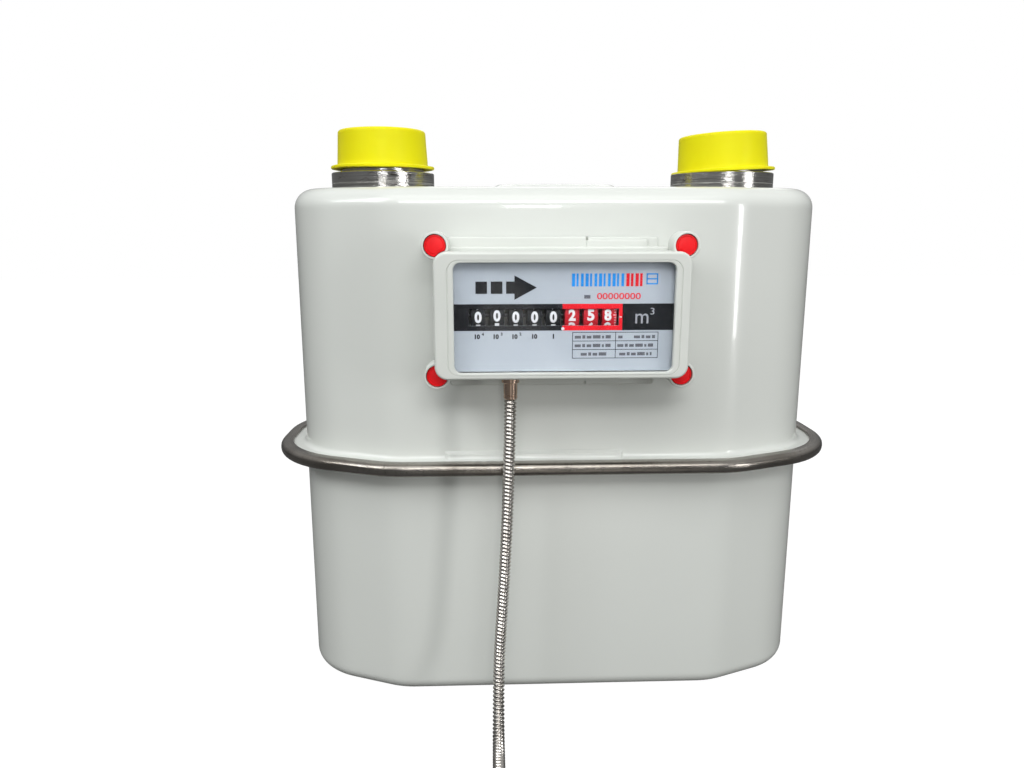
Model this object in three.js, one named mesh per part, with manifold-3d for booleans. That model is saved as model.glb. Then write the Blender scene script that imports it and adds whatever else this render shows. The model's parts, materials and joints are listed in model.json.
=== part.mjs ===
// Diaphragm gas meter with a pressed steel case, a mechanical index and a pulse lead.
// Millimetres, +Z up, -Y is the front. The origin is the centre of the bottom face.
import * as THREE from 'three';
import { mergeVertices } from 'three/addons/utils/BufferGeometryUtils.js';
import Module from 'manifold-3d';

const wasm = await Module();
wasm.setup();

// Driving dimensions
const gap = 0.3;              // clearance between pieces that touch
const stubCentres = 220;      // distance between the inlet and outlet axes
const caseHalfLength = 164.5;
const caseHalfDepth = 65.3;
const frontFlat = 101;        // half length of the flat front panel
const endFlat = 40;           // half depth of the flat end panel
const frontCorner = 50;       // corner radii of the case outline
const endCorner = 46;
const wall = 1.6;             // steel of the case
const caseHeight = 318;
const topRadius = 12;         // rolled edge at the top
const bottomRadius = 9;
const seamHeight = 154;       // middle of the seam
const flangeReach = 15.2;     // how far the flanges stand out
const gasketThick = 1.2;
const bandReach = 16.8;       // how far the seam band stands out
const bandHeight = 8;

const stubX = stubCentres / 2;
const collarRadius = 32.5;
const stubRadius = 26;
const boreRadius = 17;
const capRadius = 28.6;
const capWall = 1.4;
const capTilt = -3;           // degrees, how crooked the outlet cap sits

const indexX = -3.5;          // middle of the index
const indexZ = 247.5;
const indexHalf = [69.5, 34.5];
const indexFront = -104;
const indexBack = -79.6;      // where the cover meets the back plate
const sealX = 68.9;           // seal plugs from the middle of the index
const sealZ = 36;
const sealRadius = 6;
const sealFace = -91.2;
const windowHalf = [59.8, 29.8];
const windowX = -2.5;
const windowZ = 246.5;
const drumPitch = 10.3;
const drumWidth = 8;
const drumRadius = 11.6;
const drumCount = 8;
const blackDrums = 5;
const magnetDrum = 6;         // turns once for every 0.1 cubic metre
const firstDrumX = -49.2;     // the highest decade
const drumY = -84.7;
const drumZ = 246.5;
const drumBore = 1.3;
const slotHalf = 4.6;          // half height of the slot that shows the drums
const counterGear = 8.1;      // pitch radius of the pinion and of the wheel on the last drum
const mitreRadius = 3.6;

const crankRadius = 12.5;
const flagAxis = [-86, -50];  // front flag rod; the rear one is its mirror through the middle
const deckTop = 138;
const deckThick = 12;
const unitHalf = 98;          // measuring unit, half length
const unitDepth = 61;         // and half depth
const clampY = 33;            // where the diaphragms are clamped
const driveZ = 263;           // height of the index drive shaft
const driveWheel = 12;        // pitch radius of the wheel on the drive shaft

const leadRadius = 3.5;
const leadX = -31.5;
const leadY = -94;
const coilRadius = 38.5;      // middle of the coil's turns
const coilCentre = [2.35, -222];
const coilHeight = 14;
const coilEnd = 85;           // angle about the coil's middle where the last turn ends, degrees
const coilHalfWidth = 7.3;    // half the width of the bundle of turns

// Route of the free part of the lead, from the ferrule to where the coil begins
const leadRoute = [
  [-31.5, -94, 200], [-31.7, -94, 190], [-32.1, -94.1, 172], [-32.7, -94.5, 152], [-33.4, -95, 132],
  [-34.3, -95.5, 112], [-35.4, -96, 92], [-36.5, -96.4, 74], [-37.6, -97, 58], [-38.3, -98, 46],
  [-38.8, -100.4, 34.5], [-39.1, -105, 23.6], [-39.3, -112, 14.2], [-39.5, -121, 7.4],
  [-39.6, -131.5, 4.1], [-39.7, -143, 3.6], [-39.7, -157, 3.6], [-39.7, -171, 3.6],
  [-39.7, -184, 3.6], [-39.7, -196, 3.6],
];

const paint = { color: 0xd3d9d2, roughness: 0.35, metalness: 0 };
const steel = { color: 0xb9b7b2, roughness: 0.3, metalness: 1 };
const zinc = { color: 0x9fa2a4, roughness: 0.5, metalness: 1 };
const brass = { color: 0xb58a4a, roughness: 0.4, metalness: 1 };
const moulding = { color: 0xe4e7e2, roughness: 0.4, metalness: 0 };
const capPlastic = { color: 0xe3dd1c, roughness: 0.5, metalness: 0 };
const sealRed = { color: 0xe01a24, roughness: 0.4, metalness: 0 };
const drumBlack = { color: 0x101010, roughness: 0.4, metalness: 0 };
const drumRed = { color: 0xd01820, roughness: 0.4, metalness: 0 };
const gearPlastic = { color: 0xf0ede4, roughness: 0.5, metalness: 0 };
const unitPlastic = { color: 0x3c4045, roughness: 0.6, metalness: 0 };
const rubberBlack = { color: 0x1c1c1c, roughness: 0.8, metalness: 0 };
const clearPane = { color: 0xe8eef2, roughness: 0.05, metalness: 0, transparent: true, opacity: 0.25 };
const printed = { color: 0xbcc4cf, roughness: 0.6, metalness: 0 };
const board = { color: 0x1f6b3a, roughness: 0.6, metalness: 0 };
const copper = { color: 0xb3917a, roughness: 0.35, metalness: 1 };

const group = new THREE.Group();

// A geometry as a solid that can be cut and joined
function solid(geometry) {
  const bare = geometry.clone();
  bare.deleteAttribute('normal');
  bare.deleteAttribute('uv');
  const merged = mergeVertices(bare, 1e-4);
  const vertProperties = new Float32Array(merged.attributes.position.array);
  const triVerts = new Uint32Array(merged.index.array);
  return new wasm.Manifold(new wasm.Mesh({ numProp: 3, vertProperties, triVerts }));
}

// A solid as a geometry for a mesh
function surface(body) {
  const mesh = body.getMesh();
  const geometry = new THREE.BufferGeometry();
  const position = new THREE.BufferAttribute(new Float32Array(mesh.vertProperties), 3);
  geometry.setAttribute('position', position);
  geometry.setIndex(new THREE.BufferAttribute(new Uint32Array(mesh.triVerts), 1));
  geometry.computeVertexNormals();
  return geometry;
}

const joined = (...bodies) => bodies.reduce((a, b) => a.add(b));
const cut = (body, ...tools) => tools.reduce((a, b) => a.subtract(b), body);

// Adds one named mesh; source is a solid or a geometry
function piece(name, source, look, parent = group) {
  const geometry = source.isBufferGeometry ? source : surface(source);
  const mesh = new THREE.Mesh(geometry, new THREE.MeshStandardMaterial(look));
  mesh.name = name;
  parent.add(mesh);
  return mesh;
}

// A block between two corners
function block(low, high) {
  const [w, d, h] = high.map((value, k) => value - low[k]);
  const geometry = new THREE.BoxGeometry(w, d, h);
  geometry.translate(low[0] + w / 2, low[1] + d / 2, low[2] + h / 2);
  return solid(geometry);
}

// A round bar from start along axis ('x', 'y' or 'z'), with its far end's radius if it tapers
function bar(start, length, radius, axis = 'z', sides = 14, farRadius = radius) {
  const geometry = new THREE.CylinderGeometry(farRadius, radius, length, sides);
  geometry.translate(0, length / 2, 0);
  if (axis === 'z') geometry.rotateX(Math.PI / 2);
  if (axis === 'x') geometry.rotateZ(-Math.PI / 2);
  geometry.translate(...start);
  return solid(geometry);
}

// A turned piece about the Z axis, from [radius, height] points
function turned(profile, x = 0, y = 0, sides = 24) {
  const points = profile.map(([r, z]) => new THREE.Vector2(r, z));
  const geometry = new THREE.LatheGeometry(points, sides);
  geometry.rotateX(Math.PI / 2);
  geometry.translate(x, y, 0);
  return solid(geometry);
}

// Points round a closed outline whose corners [x, y, radius] are given anticlockwise
function rounded(corners, steps = 4) {
  const points = [];
  corners.forEach(([x, y, radius], k) => {
    const here = new THREE.Vector2(x, y);
    const ends = [corners.at(k - 1), corners[(k + 1) % corners.length]];
    const [before, after] = ends.map((c) => new THREE.Vector2(c[0] - x, c[1] - y).normalize());
    const half = Math.acos(before.dot(after)) / 2;
    const middle = before.clone().add(after).normalize().multiplyScalar(radius / Math.sin(half));
    const centre = here.clone().add(middle);
    const start = here.clone().addScaledVector(before, radius / Math.tan(half)).sub(centre);
    for (let i = 0; i <= steps; i++) {
      const turn = (Math.PI - 2 * half) * (i / steps);
      points.push(start.clone().rotateAround(new THREE.Vector2(), turn).add(centre));
    }
  });
  return new THREE.Shape(points);
}

// A rounded rectangle
function rectangle(x0, y0, x1, y1, radius, steps = 3) {
  return rounded([[x0, y0, radius], [x1, y0, radius], [x1, y1, radius], [x0, y1, radius]], steps);
}

// The case's outline, moved out by the given amount
function caseOutline(out = 0) {
  const length = caseHalfLength + out;
  const depth = caseHalfDepth + out;
  const slope = Math.atan2(caseHalfDepth - endFlat, caseHalfLength - frontFlat);
  const flat = frontFlat + out * Math.tan(slope / 2);
  const side = endFlat + out * Math.tan((Math.PI / 2 - slope) / 2);
  const front = frontCorner + out;
  const end = endCorner + out;
  return rounded([
    [-flat, -depth, front], [flat, -depth, front], [length, -side, end], [length, side, end],
    [flat, depth, front], [-flat, depth, front], [-length, side, end], [-length, -side, end],
  ]);
}

// An outline raised from z0 to z1; with an edge radius both rims are rounded inwards
function slab(shape, z0, z1, edge = 0, edgeSteps = 3) {
  const geometry = new THREE.ExtrudeGeometry(shape, {
    depth: z1 - z0 - 2 * edge, bevelEnabled: edge > 0, bevelThickness: edge, bevelSize: edge,
    bevelOffset: -edge, bevelSegments: edgeSteps, steps: 1,
  });
  geometry.translate(0, 0, z0 + edge);
  return solid(geometry);
}

// The same, raised along -Y from back to front: the outline is in X and Z
function plate(shape, back, front, edge = 0, edgeSteps = 2) {
  return slab(shape, -back, -front, edge, edgeSteps).rotate([90, 0, 0]);
}

// A spur gear blank with short teeth: tips end at the pitch line, so meshing rims never touch
function gearOutline(teeth, radius, bore = 0) {
  const root = radius * 0.86;
  const shape = new THREE.Shape();
  for (let i = 0; i < teeth; i++) {
    for (const [part, r] of [[0, root], [0.3, radius], [0.7, radius]]) {
      const angle = (i + part) * 2 * Math.PI / teeth;
      const [x, y] = [r * Math.cos(angle), r * Math.sin(angle)];
      if (i === 0 && part === 0) shape.moveTo(x, y);
      else shape.lineTo(x, y);
    }
  }
  if (bore > 0) shape.holes.push(new THREE.Path().absarc(0, 0, bore, 0, 2 * Math.PI, true));
  return shape;
}

// Upper shell: rolled top edge, seam flange, raised pad on top and a stiffening step at the front
function upperCase() {
  const foot = seamHeight + gasketThick / 2 + gap;
  const outer = slab(caseOutline(), 100, caseHeight, topRadius);
  const inner = slab(caseOutline(-wall), 90, caseHeight - wall, topRadius - wall);
  const below = block([-200, -100, 80], [200, 100, foot]);
  const pad = slab(rectangle(-39, -46, 35, 46, 18), caseHeight - 6, caseHeight + 2, 2, 3);
  const step = block([-69, -caseHalfDepth - 3, foot], [37, -caseHalfDepth + 1, foot + 6]);
  const flange = slab(caseOutline(flangeReach), foot, foot + wall);
  let shell = cut(joined(outer, pad, step, flange), inner, below);
  for (const x of [-stubX, stubX]) shell = cut(shell, bar([x, 0, 300], 30, 21 + gap, 'z', 24));
  return cut(shell, bar([0, -80, driveZ], 30, 5 + gap, 'y'));
}

function lowerCase() {
  const top = seamHeight - gasketThick / 2 - gap;
  const outer = slab(caseOutline(), 0, 200, bottomRadius);
  const inner = slab(caseOutline(-wall), wall, 220, bottomRadius - wall);
  const above = block([-200, -100, top], [200, 100, 230]);
  return cut(joined(outer, slab(caseOutline(flangeReach), top - wall, top)), inner, above);
}

function caseGasket() {
  const [low, high] = [seamHeight - gasketThick / 2, seamHeight + gasketThick / 2];
  return cut(slab(caseOutline(flangeReach - 0.5), low, high), slab(caseOutline(0), low - 1, high + 1));
}

// Rolled steel channel that grips both flanges
function seamBand() {
  const low = seamHeight - bandHeight / 2;
  const inside = gasketThick / 2 + wall + 2 * gap;
  const rim = slab(caseOutline(bandReach), low, low + bandHeight, 3.4, 2);
  const hole = slab(caseOutline(bandReach - 8.2), low - 1, low + bandHeight + 1);
  const groove = slab(caseOutline(flangeReach + gap), seamHeight - inside, seamHeight + inside);
  return cut(rim, hole, groove);
}

// Pipe connection: tube through the top, collar resting on it, plain stub above
function pipeStub(x) {
  const seat = caseHeight + gap;
  return turned([
    [boreRadius, 290], [21, 290], [21, seat], [collarRadius, seat], [collarRadius, 327],
    [collarRadius - 1.6, 328.4], [stubRadius, 328.4], [stubRadius, 346], [stubRadius - 1, 347],
    [boreRadius, 347], [boreRadius, 290],
  ], x);
}

// Push-on plastic cap with a thin rim, turned about its own middle so that it can sit crooked
function pipeCap(name, x, lift, tilt) {
  const inside = capRadius - capWall;
  const geometry = surface(turned([
    [0, 352.8], [inside - 0.2, 352.8], [inside, 332.2], [collarRadius + 0.3, 332.2],
    [collarRadius + 0.3, 333.6], [capRadius, 334], [capRadius - 0.3, 352.6],
    [capRadius - 0.6, 354], [capRadius - 2.2, 354.6], [0, 354.6],
  ]));
  geometry.translate(0, 0, -340);
  const mesh = piece(name, geometry, capPlastic);
  mesh.position.set(x, 0, 340 + lift);
  mesh.rotation.y = THREE.MathUtils.degToRad(tilt);
}

// Body of the measuring unit: two open chambers, a deck with gas channels, and feet
function centreFrame() {
  const deckFloor = deckTop - deckThick;
  let frame = joined(
    block([-unitHalf, -clampY, 10], [unitHalf, clampY, deckFloor + 1]),
    block([-unitHalf, -unitDepth, deckFloor], [unitHalf, unitDepth, deckTop]),
    block([unitHalf - 2, -30, deckFloor], [130, 30, deckTop]),
  );
  for (const side of [-1, 1]) {
    for (const x of [-88, 88]) {
      frame = frame.add(block([x - 6, side * 20 - 6, wall + gap], [x + 6, side * 20 + 6, 11]));
    }
    const [near, far] = [Math.min(side * 1.5, side * 40), Math.max(side * 1.5, side * 40)];
    frame = cut(frame, block([-unitHalf + 6, near, 18], [unitHalf - 6, far, 120]));
    frame = cut(frame, bar([0, side * 20, 118], 30, 6));
    frame = cut(frame, bar([side * 86, side * 50, 118], 30, 2.9));
    frame = cut(frame, bar([side * -40, side * 48, 118], 30, 6));
  }
  const channel = block([-5, -5, deckFloor + 3], [112, 5, deckTop - 3]);
  return cut(frame, channel, bar([0, 0, deckFloor + 4], 20, 6), bar([stubX, 0, deckFloor + 4], 20, 14));
}

// Chamber cover: a pan that closes the outer chamber
function chamberCover() {
  const top = deckTop - deckThick - gap;
  const back = -clampY - 1.8;
  const pan = cut(
    block([-unitHalf, -unitDepth, 10], [unitHalf, back, top]),
    block([-unitHalf + 4, 1.4 - unitDepth, 14], [unitHalf - 4, back + 1, top - 4]),
  );
  return cut(pan, bar([-86, -50, 100], 40, 2.9), bar([40, -48, 100], 40, 6));
}

// Flexible diaphragm at rest: clamped rim, a raised roll round the hole for the centre disc
function diaphragm() {
  const back = -clampY - gap;
  const rim = plate(rectangle(-unitHalf, 10, unitHalf, 125.6, 4), back, back - 1.2);
  const roll = plate(rectangle(-86, 34, 86, 104, 22), back, back - 5, 1.6);
  const hollow = plate(rectangle(-84.6, 35.4, 84.6, 102.6, 20.6), back + 1, back - 3.6);
  const hole = plate(rectangle(-72, 48, 72, 90, 16), back + 2, back - 8);
  return cut(joined(rim, roll), hollow, hole);
}

// Diaphragm centre plate with the slotted lug that the flag pin drives
function centreDisc() {
  const face = -clampY - gap - 1.6;
  const sheet = plate(rectangle(-71, 49, 71, 89, 15), face + 2, face);
  const lug = block([-20, -43.3, 71], [-2, face + 1, 74]);
  return cut(joined(sheet, lug), block([-16.5, -40.6, 70], [-6.5, -36.4, 75]));
}

// Vertical rod with its wing below the lug and the drive pin at the wing's tip
function flagRod() {
  const [x, y] = flagAxis;
  const reach = Math.hypot(76, 11.5);
  const wing = block([0, -0.8, 50], [reach, 0.8, 68]).rotate([0, 0, 8.6]).translate([x, y, 0]);
  const pin = bar([x + 76, y + 11.5, 60], 17, 1.5, 'z', 12);
  const boss = bar([x + 76, y + 11.5, 50], 18, 2.4, 'z', 12);
  return joined(bar([x, y, 16], 170, 2.5, 'z', 16), wing, boss, pin);
}

// Flat arm on top of a flag rod, pointing along the given direction in degrees
function longArm([x, y], degrees) {
  const arm = joined(
    block([0, -3.2, 182], [60, 3.2, 185]), bar([0, 0, 182], 3, 6), bar([60, 0, 182], 3, 4.5),
  );
  return cut(arm, bar([0, 0, 170], 30, 2.5 + gap, 'z', 16)).rotate([0, 0, degrees]).translate([x, y, 0]);
}

// Link from the crank pin to the place above a long arm's tip
function link(toX, toY, z) {
  const length = Math.hypot(toX, toY - crankRadius);
  const degrees = THREE.MathUtils.radToDeg(Math.atan2(toY - crankRadius, toX));
  const strip = joined(
    block([0, -2.4, z], [length, 2.4, z + 2]), bar([0, 0, z], 2, 4), bar([length, 0, z], 2, 4),
  );
  const eyes = cut(strip, bar([0, 0, z - 5], 12, 2 + 0.4), bar([length, 0, z - 5], 12, 1.8));
  return eyes.rotate([0, 0, degrees]).translate([0, crankRadius, 0]);
}

// Spindle that turns the valve, with the crank disc and its pin
function crankSpindle() {
  return joined(
    bar([0, 0, 152.2], 30, 3), bar([0, 0, 181.9], 4, 17, 'z', 24),
    bar([0, crankRadius, 185], 13, 2, 'z', 16),
  );
}

// Bearing bridge over the valve
function crankBridge() {
  const bridge = joined(
    block([-44, -7, 174], [44, 7, 178]), block([-44, -7, deckTop + gap], [-38, 7, 175]),
    block([38, -7, deckTop + gap], [44, 7, 175]),
  );
  return cut(bridge, bar([0, 0, 170], 12, 3.3));
}

function valveSeat() {
  let seat = bar([0, 0, deckTop + gap], 5.7, 34, 'z', 24);
  for (const [x, y] of [[0, -20], [0, 20], [0, 0]]) seat = cut(seat, bar([x, y, 130], 20, 6));
  return seat;
}

// Turning valve: a disc with one open sector and a shallow hood channel underneath
function rotaryValve() {
  const disc = bar([0, 0, 144.3], 7.6, 28, 'z', 24);
  const sector = new THREE.Shape().moveTo(8, 0).absarc(0, 0, 30, -0.9, 0.9, false);
  return cut(disc, slab(sector, 140, 160), block([-26, -6, 140], [4, 6, 148]));
}

// Duct from the deck up to the outlet stub
function outletDuct() {
  return turned([
    [14, deckTop + gap], [24, deckTop + gap], [24, deckTop + 3.5], [16, deckTop + 4.5], [16, 285],
    [25, 287], [25, 296], [21 + gap, 296], [21 + gap, 289], [14, 286], [14, deckTop + gap],
  ], stubX);
}

// Upper spindle: follower arm driven by the crank pin, shaft, and the crown gear on top
function driveFollower() {
  const arm = joined(block([-5, 0, 199], [5, 19, 202]), bar([0, 0, 199], 3, 6));
  const slot = block([-2.4, 9, 190], [2.4, 30, 210]);
  const top = driveZ - driveWheel - 0.5;
  return joined(cut(arm, slot).translate([0, 0, -4]), bar([0, 0, 195.5], top - 195.5, 2.5, 'z', 16));
}

// Bracket on the front wall that carries the upper spindle and the drive shaft
function driveBracket() {
  const foot = -caseHalfDepth + wall + gap;
  const bracket = joined(
    block([-14, foot, 208], [14, foot + 3, 252]), block([-9, foot, 220], [9, 9, 224]),
  );
  return cut(bracket, bar([0, 0, 210], 30, 2.8));
}

function spurGear(teeth, radius, z, thick, bore) {
  return slab(gearOutline(teeth, radius, bore), z, z + thick);
}

// Bush in the case wall that seals the drive shaft
function glandBush() {
  const inside = -caseHalfDepth + wall + gap;
  const body = joined(
    bar([0, -71, driveZ], 10, 5, 'y'), bar([0, inside, driveZ], 3, 8, 'y'),
  );
  return cut(body, bar([0, -80, driveZ], 30, 1.5 + 0.1, 'y', 16));
}

function driveShaft() {
  return joined(
    bar([0, drumY + 2.7, driveZ], -2.5 - drumY - 2.7, 1.5, 'y', 12),
    bar([0, drumY + mitreRadius + gap, driveZ], 1.5, mitreRadius, 'y', 16),
  );
}

// Base moulding of the index, hollow towards the cover, with ledges on its edges
function indexBackPlate() {
  const back = -caseHalfDepth - gap;
  const front = indexBack - gap;
  const [x0, x1] = [indexX - 66, indexX + 66];
  const base = joined(
    plate(rectangle(x0 - 2, 211, x1 + 2, 284, 3), back, indexBack + gap, 1),
    plate(rectangle(-66, 204.5, 53, 289.5, 2), back, indexBack + 3, 1),
    plate(rectangle(indexX - 72, 222, indexX + 72, 257, 2), back, indexBack + 3, 1),
  );
  const hollow = plate(rectangle(x0, 214, x1, 281, 3), back - 3, front - 5);
  const notch = block([11.4, back - 12, 287], [13.4, back + 1, 292]);
  const lowNotch = block([11.4, back - 12, 200], [13.4, back + 1, 206]);
  return cut(base, hollow, notch, lowNotch, bar([0, -80, driveZ], 20, 5.6, 'y'));
}

// Front outline of the index cover's box
const coverBox = (grow = 0, radius = 7) => rectangle(
  indexX - indexHalf[0] - grow, indexZ - indexHalf[1] - grow,
  indexX + indexHalf[0] + grow, indexZ + indexHalf[1] + grow, radius + grow,
);

const sealPlaces = [
  ['top_left', -1, 1], ['top_right', 1, 1], ['bottom_left', -1, -1], ['bottom_right', 1, -1],
].map(([name, sx, sz]) => [name, indexX + sx * sealX, indexZ + 1.5 + sz * sealZ]);

// Moulded cover: box with a window, four seal wells whose inner side is the box's own corner
function indexCover() {
  const box = plate(coverBox(), indexBack, indexFront, 1.2);
  const corner = plate(coverBox(), indexBack + 2, indexFront + 4);
  let cover = box;
  for (const [, x, z] of sealPlaces) {
    const boss = bar([x, sealFace - 0.8, z], indexBack - sealFace + 0.8, sealRadius + 1.6, 'y', 20);
    const well = bar([x, sealFace - 1.3, z], 8, sealRadius + gap, 'y', 20).subtract(corner);
    cover = cut(joined(cover, boss), well);
  }
  const room = rectangle(indexX - 65.5, 216, indexX + 65.5, 279, 4);
  const [wx, wz] = windowHalf;
  const opening = rectangle(windowX - wx, windowZ - wz, windowX + wx, windowZ + wz, 4);
  const inside = plate(room, indexBack + 1, indexFront + 2.9);
  return cut(cover, inside, plate(opening, indexBack, indexFront - 1));
}

function sealPlug(x, z) {
  const disc = bar([x, sealFace, z], 6, sealRadius, 'y', 20);
  return disc.subtract(plate(coverBox(gap), indexBack + 2, indexFront + 4));
}

function indexLens() {
  const pane = rectangle(indexX - 65, 216.4, indexX + 65, 278.6, 3.6);
  return plate(pane, indexFront + 4.6, indexFront + 3.2);
}

// Printed plate behind the lens, with a slot where the drums show through
function dialPlate() {
  const sheet = rectangle(indexX - 64.8, 216.6, indexX + 64.8, 278.4, 3);
  const [left, right] = [firstDrumX - 5, firstDrumX + 7 * drumPitch + 5];
  const slot = rectangle(left, drumZ - slotHalf, right, drumZ + slotHalf, 0.5, 1);
  return cut(plate(sheet, -96.6, -97.2), plate(slot, -90, -100));
}

// Frame that holds the drum shaft and the pinion shaft: a spine with two cheeks
function counterFrame() {
  const [left, right] = [firstDrumX - 9.4, firstDrumX + 7 * drumPitch + 16.6];
  const back = drumY + drumRadius + 2.3;
  let frame = block([left, back - 1.6, 236], [right, back, 258]);
  for (const x of [left, right]) {
    frame = frame.add(block([x - 1, drumY - 8, 236], [x + 1, back, driveZ + 5]));
    for (const z of [drumZ, driveZ]) frame = cut(frame, bar([x - 3, drumY, z], 6, drumBore, 'x', 12));
  }
  return frame;
}

// Number drum on its bore; the one that carries the pulse magnet has a second hole for it
function drum(x, withMagnet) {
  const ring = bar([x - drumWidth / 2, drumY, drumZ], drumWidth, drumRadius, 'x', 20);
  const bored = cut(ring, bar([x - 10, drumY, drumZ], 20, drumBore, 'x', 12));
  return withMagnet ? cut(bored, bar([x - 10, drumY, drumZ - 5.6], 20, 1.5 + gap, 'x', 12)) : bored;
}

// A wheel with short teeth on a shaft along X
function xGear(x, thick, teeth, radius, y, z, bore) {
  return slab(gearOutline(teeth, radius, bore), 0, thick).rotate([0, 90, 0]).translate([x, y, z]);
}

// Shaft from the mitre wheel to the spur pinion that drives the lowest drum
function pinionShaft() {
  const right = firstDrumX + 7 * drumPitch;
  const shaft = bar([2, drumY, driveZ], right + 18.5 - 2, 1, 'x', 12);
  const mitre = bar([1.9, drumY, driveZ], 2.2, 1.8, 'x', 16, mitreRadius);
  return joined(shaft, mitre, xGear(right + 9, 3, 16, counterGear, drumY, driveZ));
}

function leadFerrule() {
  const top = indexZ - indexHalf[1] - gap;
  return cut(
    joined(bar([leadX, leadY, 200 + gap], top - 200 - gap, 3.9, 'z', 24),
      bar([leadX, leadY, top - 3], 3, 5, 'z', 24)),
    bar([leadX, leadY, 199], top - 200 - 2, 2.2, 'z', 16),
  );
}

// The free part of the lead as a tube of eight sides
function leadTube() {
  const path = new THREE.CatmullRomCurve3(leadRoute.map((p) => new THREE.Vector3(...p)));
  const section = new THREE.Shape();
  for (let i = 0; i < 8; i++) {
    const angle = (i + 0.5) * Math.PI / 4;
    const point = [leadRadius * Math.cos(angle), leadRadius * Math.sin(angle)];
    if (i === 0) section.moveTo(...point);
    else section.lineTo(...point);
  }
  return solid(new THREE.ExtrudeGeometry(section, { steps: 28, extrudePath: path, bevelEnabled: false }));
}

function leadCoil() {
  const [inner, outer] = [coilRadius - coilHalfWidth, coilRadius + coilHalfWidth];
  return turned([[inner, 0.1], [outer, 0.1], [outer, coilHeight], [inner, coilHeight], [inner, 0.1]],
    ...coilCentre, 32);
}

// Strap over the bundle of turns, on the side away from the meter's left
function leadTie() {
  const x = coilCentre[0] + coilRadius;
  const [half, y] = [coilHalfWidth + 1.6, coilCentre[1]];
  const strap = block([x - half, y - 3.5, 0.2], [x + half, y + 3.5, coilHeight + 1.3]);
  return cut(strap, block([x - half + 1, y - 5, 0], [x + half - 1, y + 5, coilHeight + gap]));
}

// In-line connector that lies on the coil, along the direction of its last turn
function leadConnector() {
  const end = THREE.MathUtils.degToRad(coilEnd);
  const [x, y] = [coilCentre[0] + coilRadius * Math.cos(end), coilCentre[1] + coilRadius * Math.sin(end)];
  const body = joined(bar([0, 0, 0], 6, 3.6, 'x', 16, 4.2), bar([6, 0, 0], 20, 4.2, 'x', 16));
  return body.rotate([0, 0, coilEnd + 90]).translate([x, y, coilHeight + gap + 4.3]);
}

// Case and pipe connections
piece('upper_case', upperCase(), paint);
piece('lower_case', lowerCase(), paint);
piece('case_gasket', caseGasket(), rubberBlack);
piece('seam_band', seamBand(), steel);
piece('inlet_stub', pipeStub(-stubX), steel);
piece('outlet_stub', pipeStub(stubX), steel);
pipeCap('inlet_cap', -stubX, 0, 0);
pipeCap('outlet_cap', stubX, -1.7, capTilt);

// Measuring unit: front pieces, and the same turned half a turn for the rear
piece('centre_frame', centreFrame(), unitPlastic);
for (const [side, turn] of [['front', 0], ['rear', Math.PI]]) {
  const half = new THREE.Group();
  half.rotation.z = turn;
  group.add(half);
  piece(`${side}_chamber_cover`, chamberCover(), unitPlastic, half);
  piece(`${side}_diaphragm`, diaphragm(), rubberBlack, half);
  piece(`${side}_disc`, centreDisc(), zinc, half);
  piece(`${side}_flag_rod`, flagRod(), zinc, half);
}
piece('front_long_arm', longArm(flagAxis, 90), zinc);
piece('rear_long_arm', longArm(flagAxis.map((v) => -v), 195), zinc);
piece('front_link', link(flagAxis[0], flagAxis[1] + 60, 188), brass);
piece('rear_link', link(28, 34.5, 191.5), brass);
piece('valve_seat', valveSeat(), gearPlastic);
piece('rotary_valve', rotaryValve(), unitPlastic);
piece('crank_spindle', crankSpindle(), zinc);
piece('crank_bridge', crankBridge(), gearPlastic);
piece('outlet_duct', outletDuct(), zinc);
piece('drive_follower', driveFollower(), gearPlastic);
piece('drive_bracket', driveBracket(), zinc);
piece('spindle_gear', spurGear(7, 4.5, driveZ - driveWheel - 4.4, 4, 2.5 + gap), brass);
piece('gland_bush', glandBush(), brass);
piece('drive_shaft', driveShaft(), steel);
piece('drive_gear', surface(slab(gearOutline(20, driveWheel, 1.5 + gap), 0, 3).rotate([90, 0, 0])
  .translate([0, -5, driveZ])), brass);

// Index
piece('index_back_plate', indexBackPlate(), moulding);
piece('counter_frame', counterFrame(), zinc);
piece('drum_shaft', bar([firstDrumX - 11, drumY, drumZ], 7 * drumPitch + 30, 1, 'x', 12), steel);
for (let i = 0; i < drumCount; i++) {
  const look = i < blackDrums ? drumBlack : drumRed;
  piece(`drum_${i + 1}`, drum(firstDrumX + i * drumPitch, i === magnetDrum), look);
}
const magnetX = firstDrumX + magnetDrum * drumPitch;
piece('pulse_magnet', bar([magnetX - 3, drumY, drumZ - 5.6], 6, 1.5, 'x', 12), zinc);
piece('pinion_shaft', pinionShaft(), gearPlastic);
const lastDrumX = firstDrumX + 7 * drumPitch;
piece('drum_gear', xGear(lastDrumX + 9, 3, 16, counterGear, drumY, drumZ, drumBore), gearPlastic);
piece('dial_plate', dialPlate(), printed);
piece('index_cover', indexCover(), moulding);
piece('index_lens', indexLens(), clearPane);
for (const [name, x, z] of sealPlaces) piece(`seal_${name}`, sealPlug(x, z), sealRed);
piece('reed_board', block([-36, -86, 219], [24, -84.4, 234]), board);

// Pulse lead
piece('lead_ferrule', leadFerrule(), copper);
piece('lead_tube', leadTube(), steel);
piece('lead_coil', leadCoil(), steel);
piece('lead_tie', leadTie(), rubberBlack);
piece('lead_connector', leadConnector(), rubberBlack);

export default group;
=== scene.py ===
import json
import math

import bmesh
import bpy
import numpy as np
from mathutils import Matrix, Vector


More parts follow.
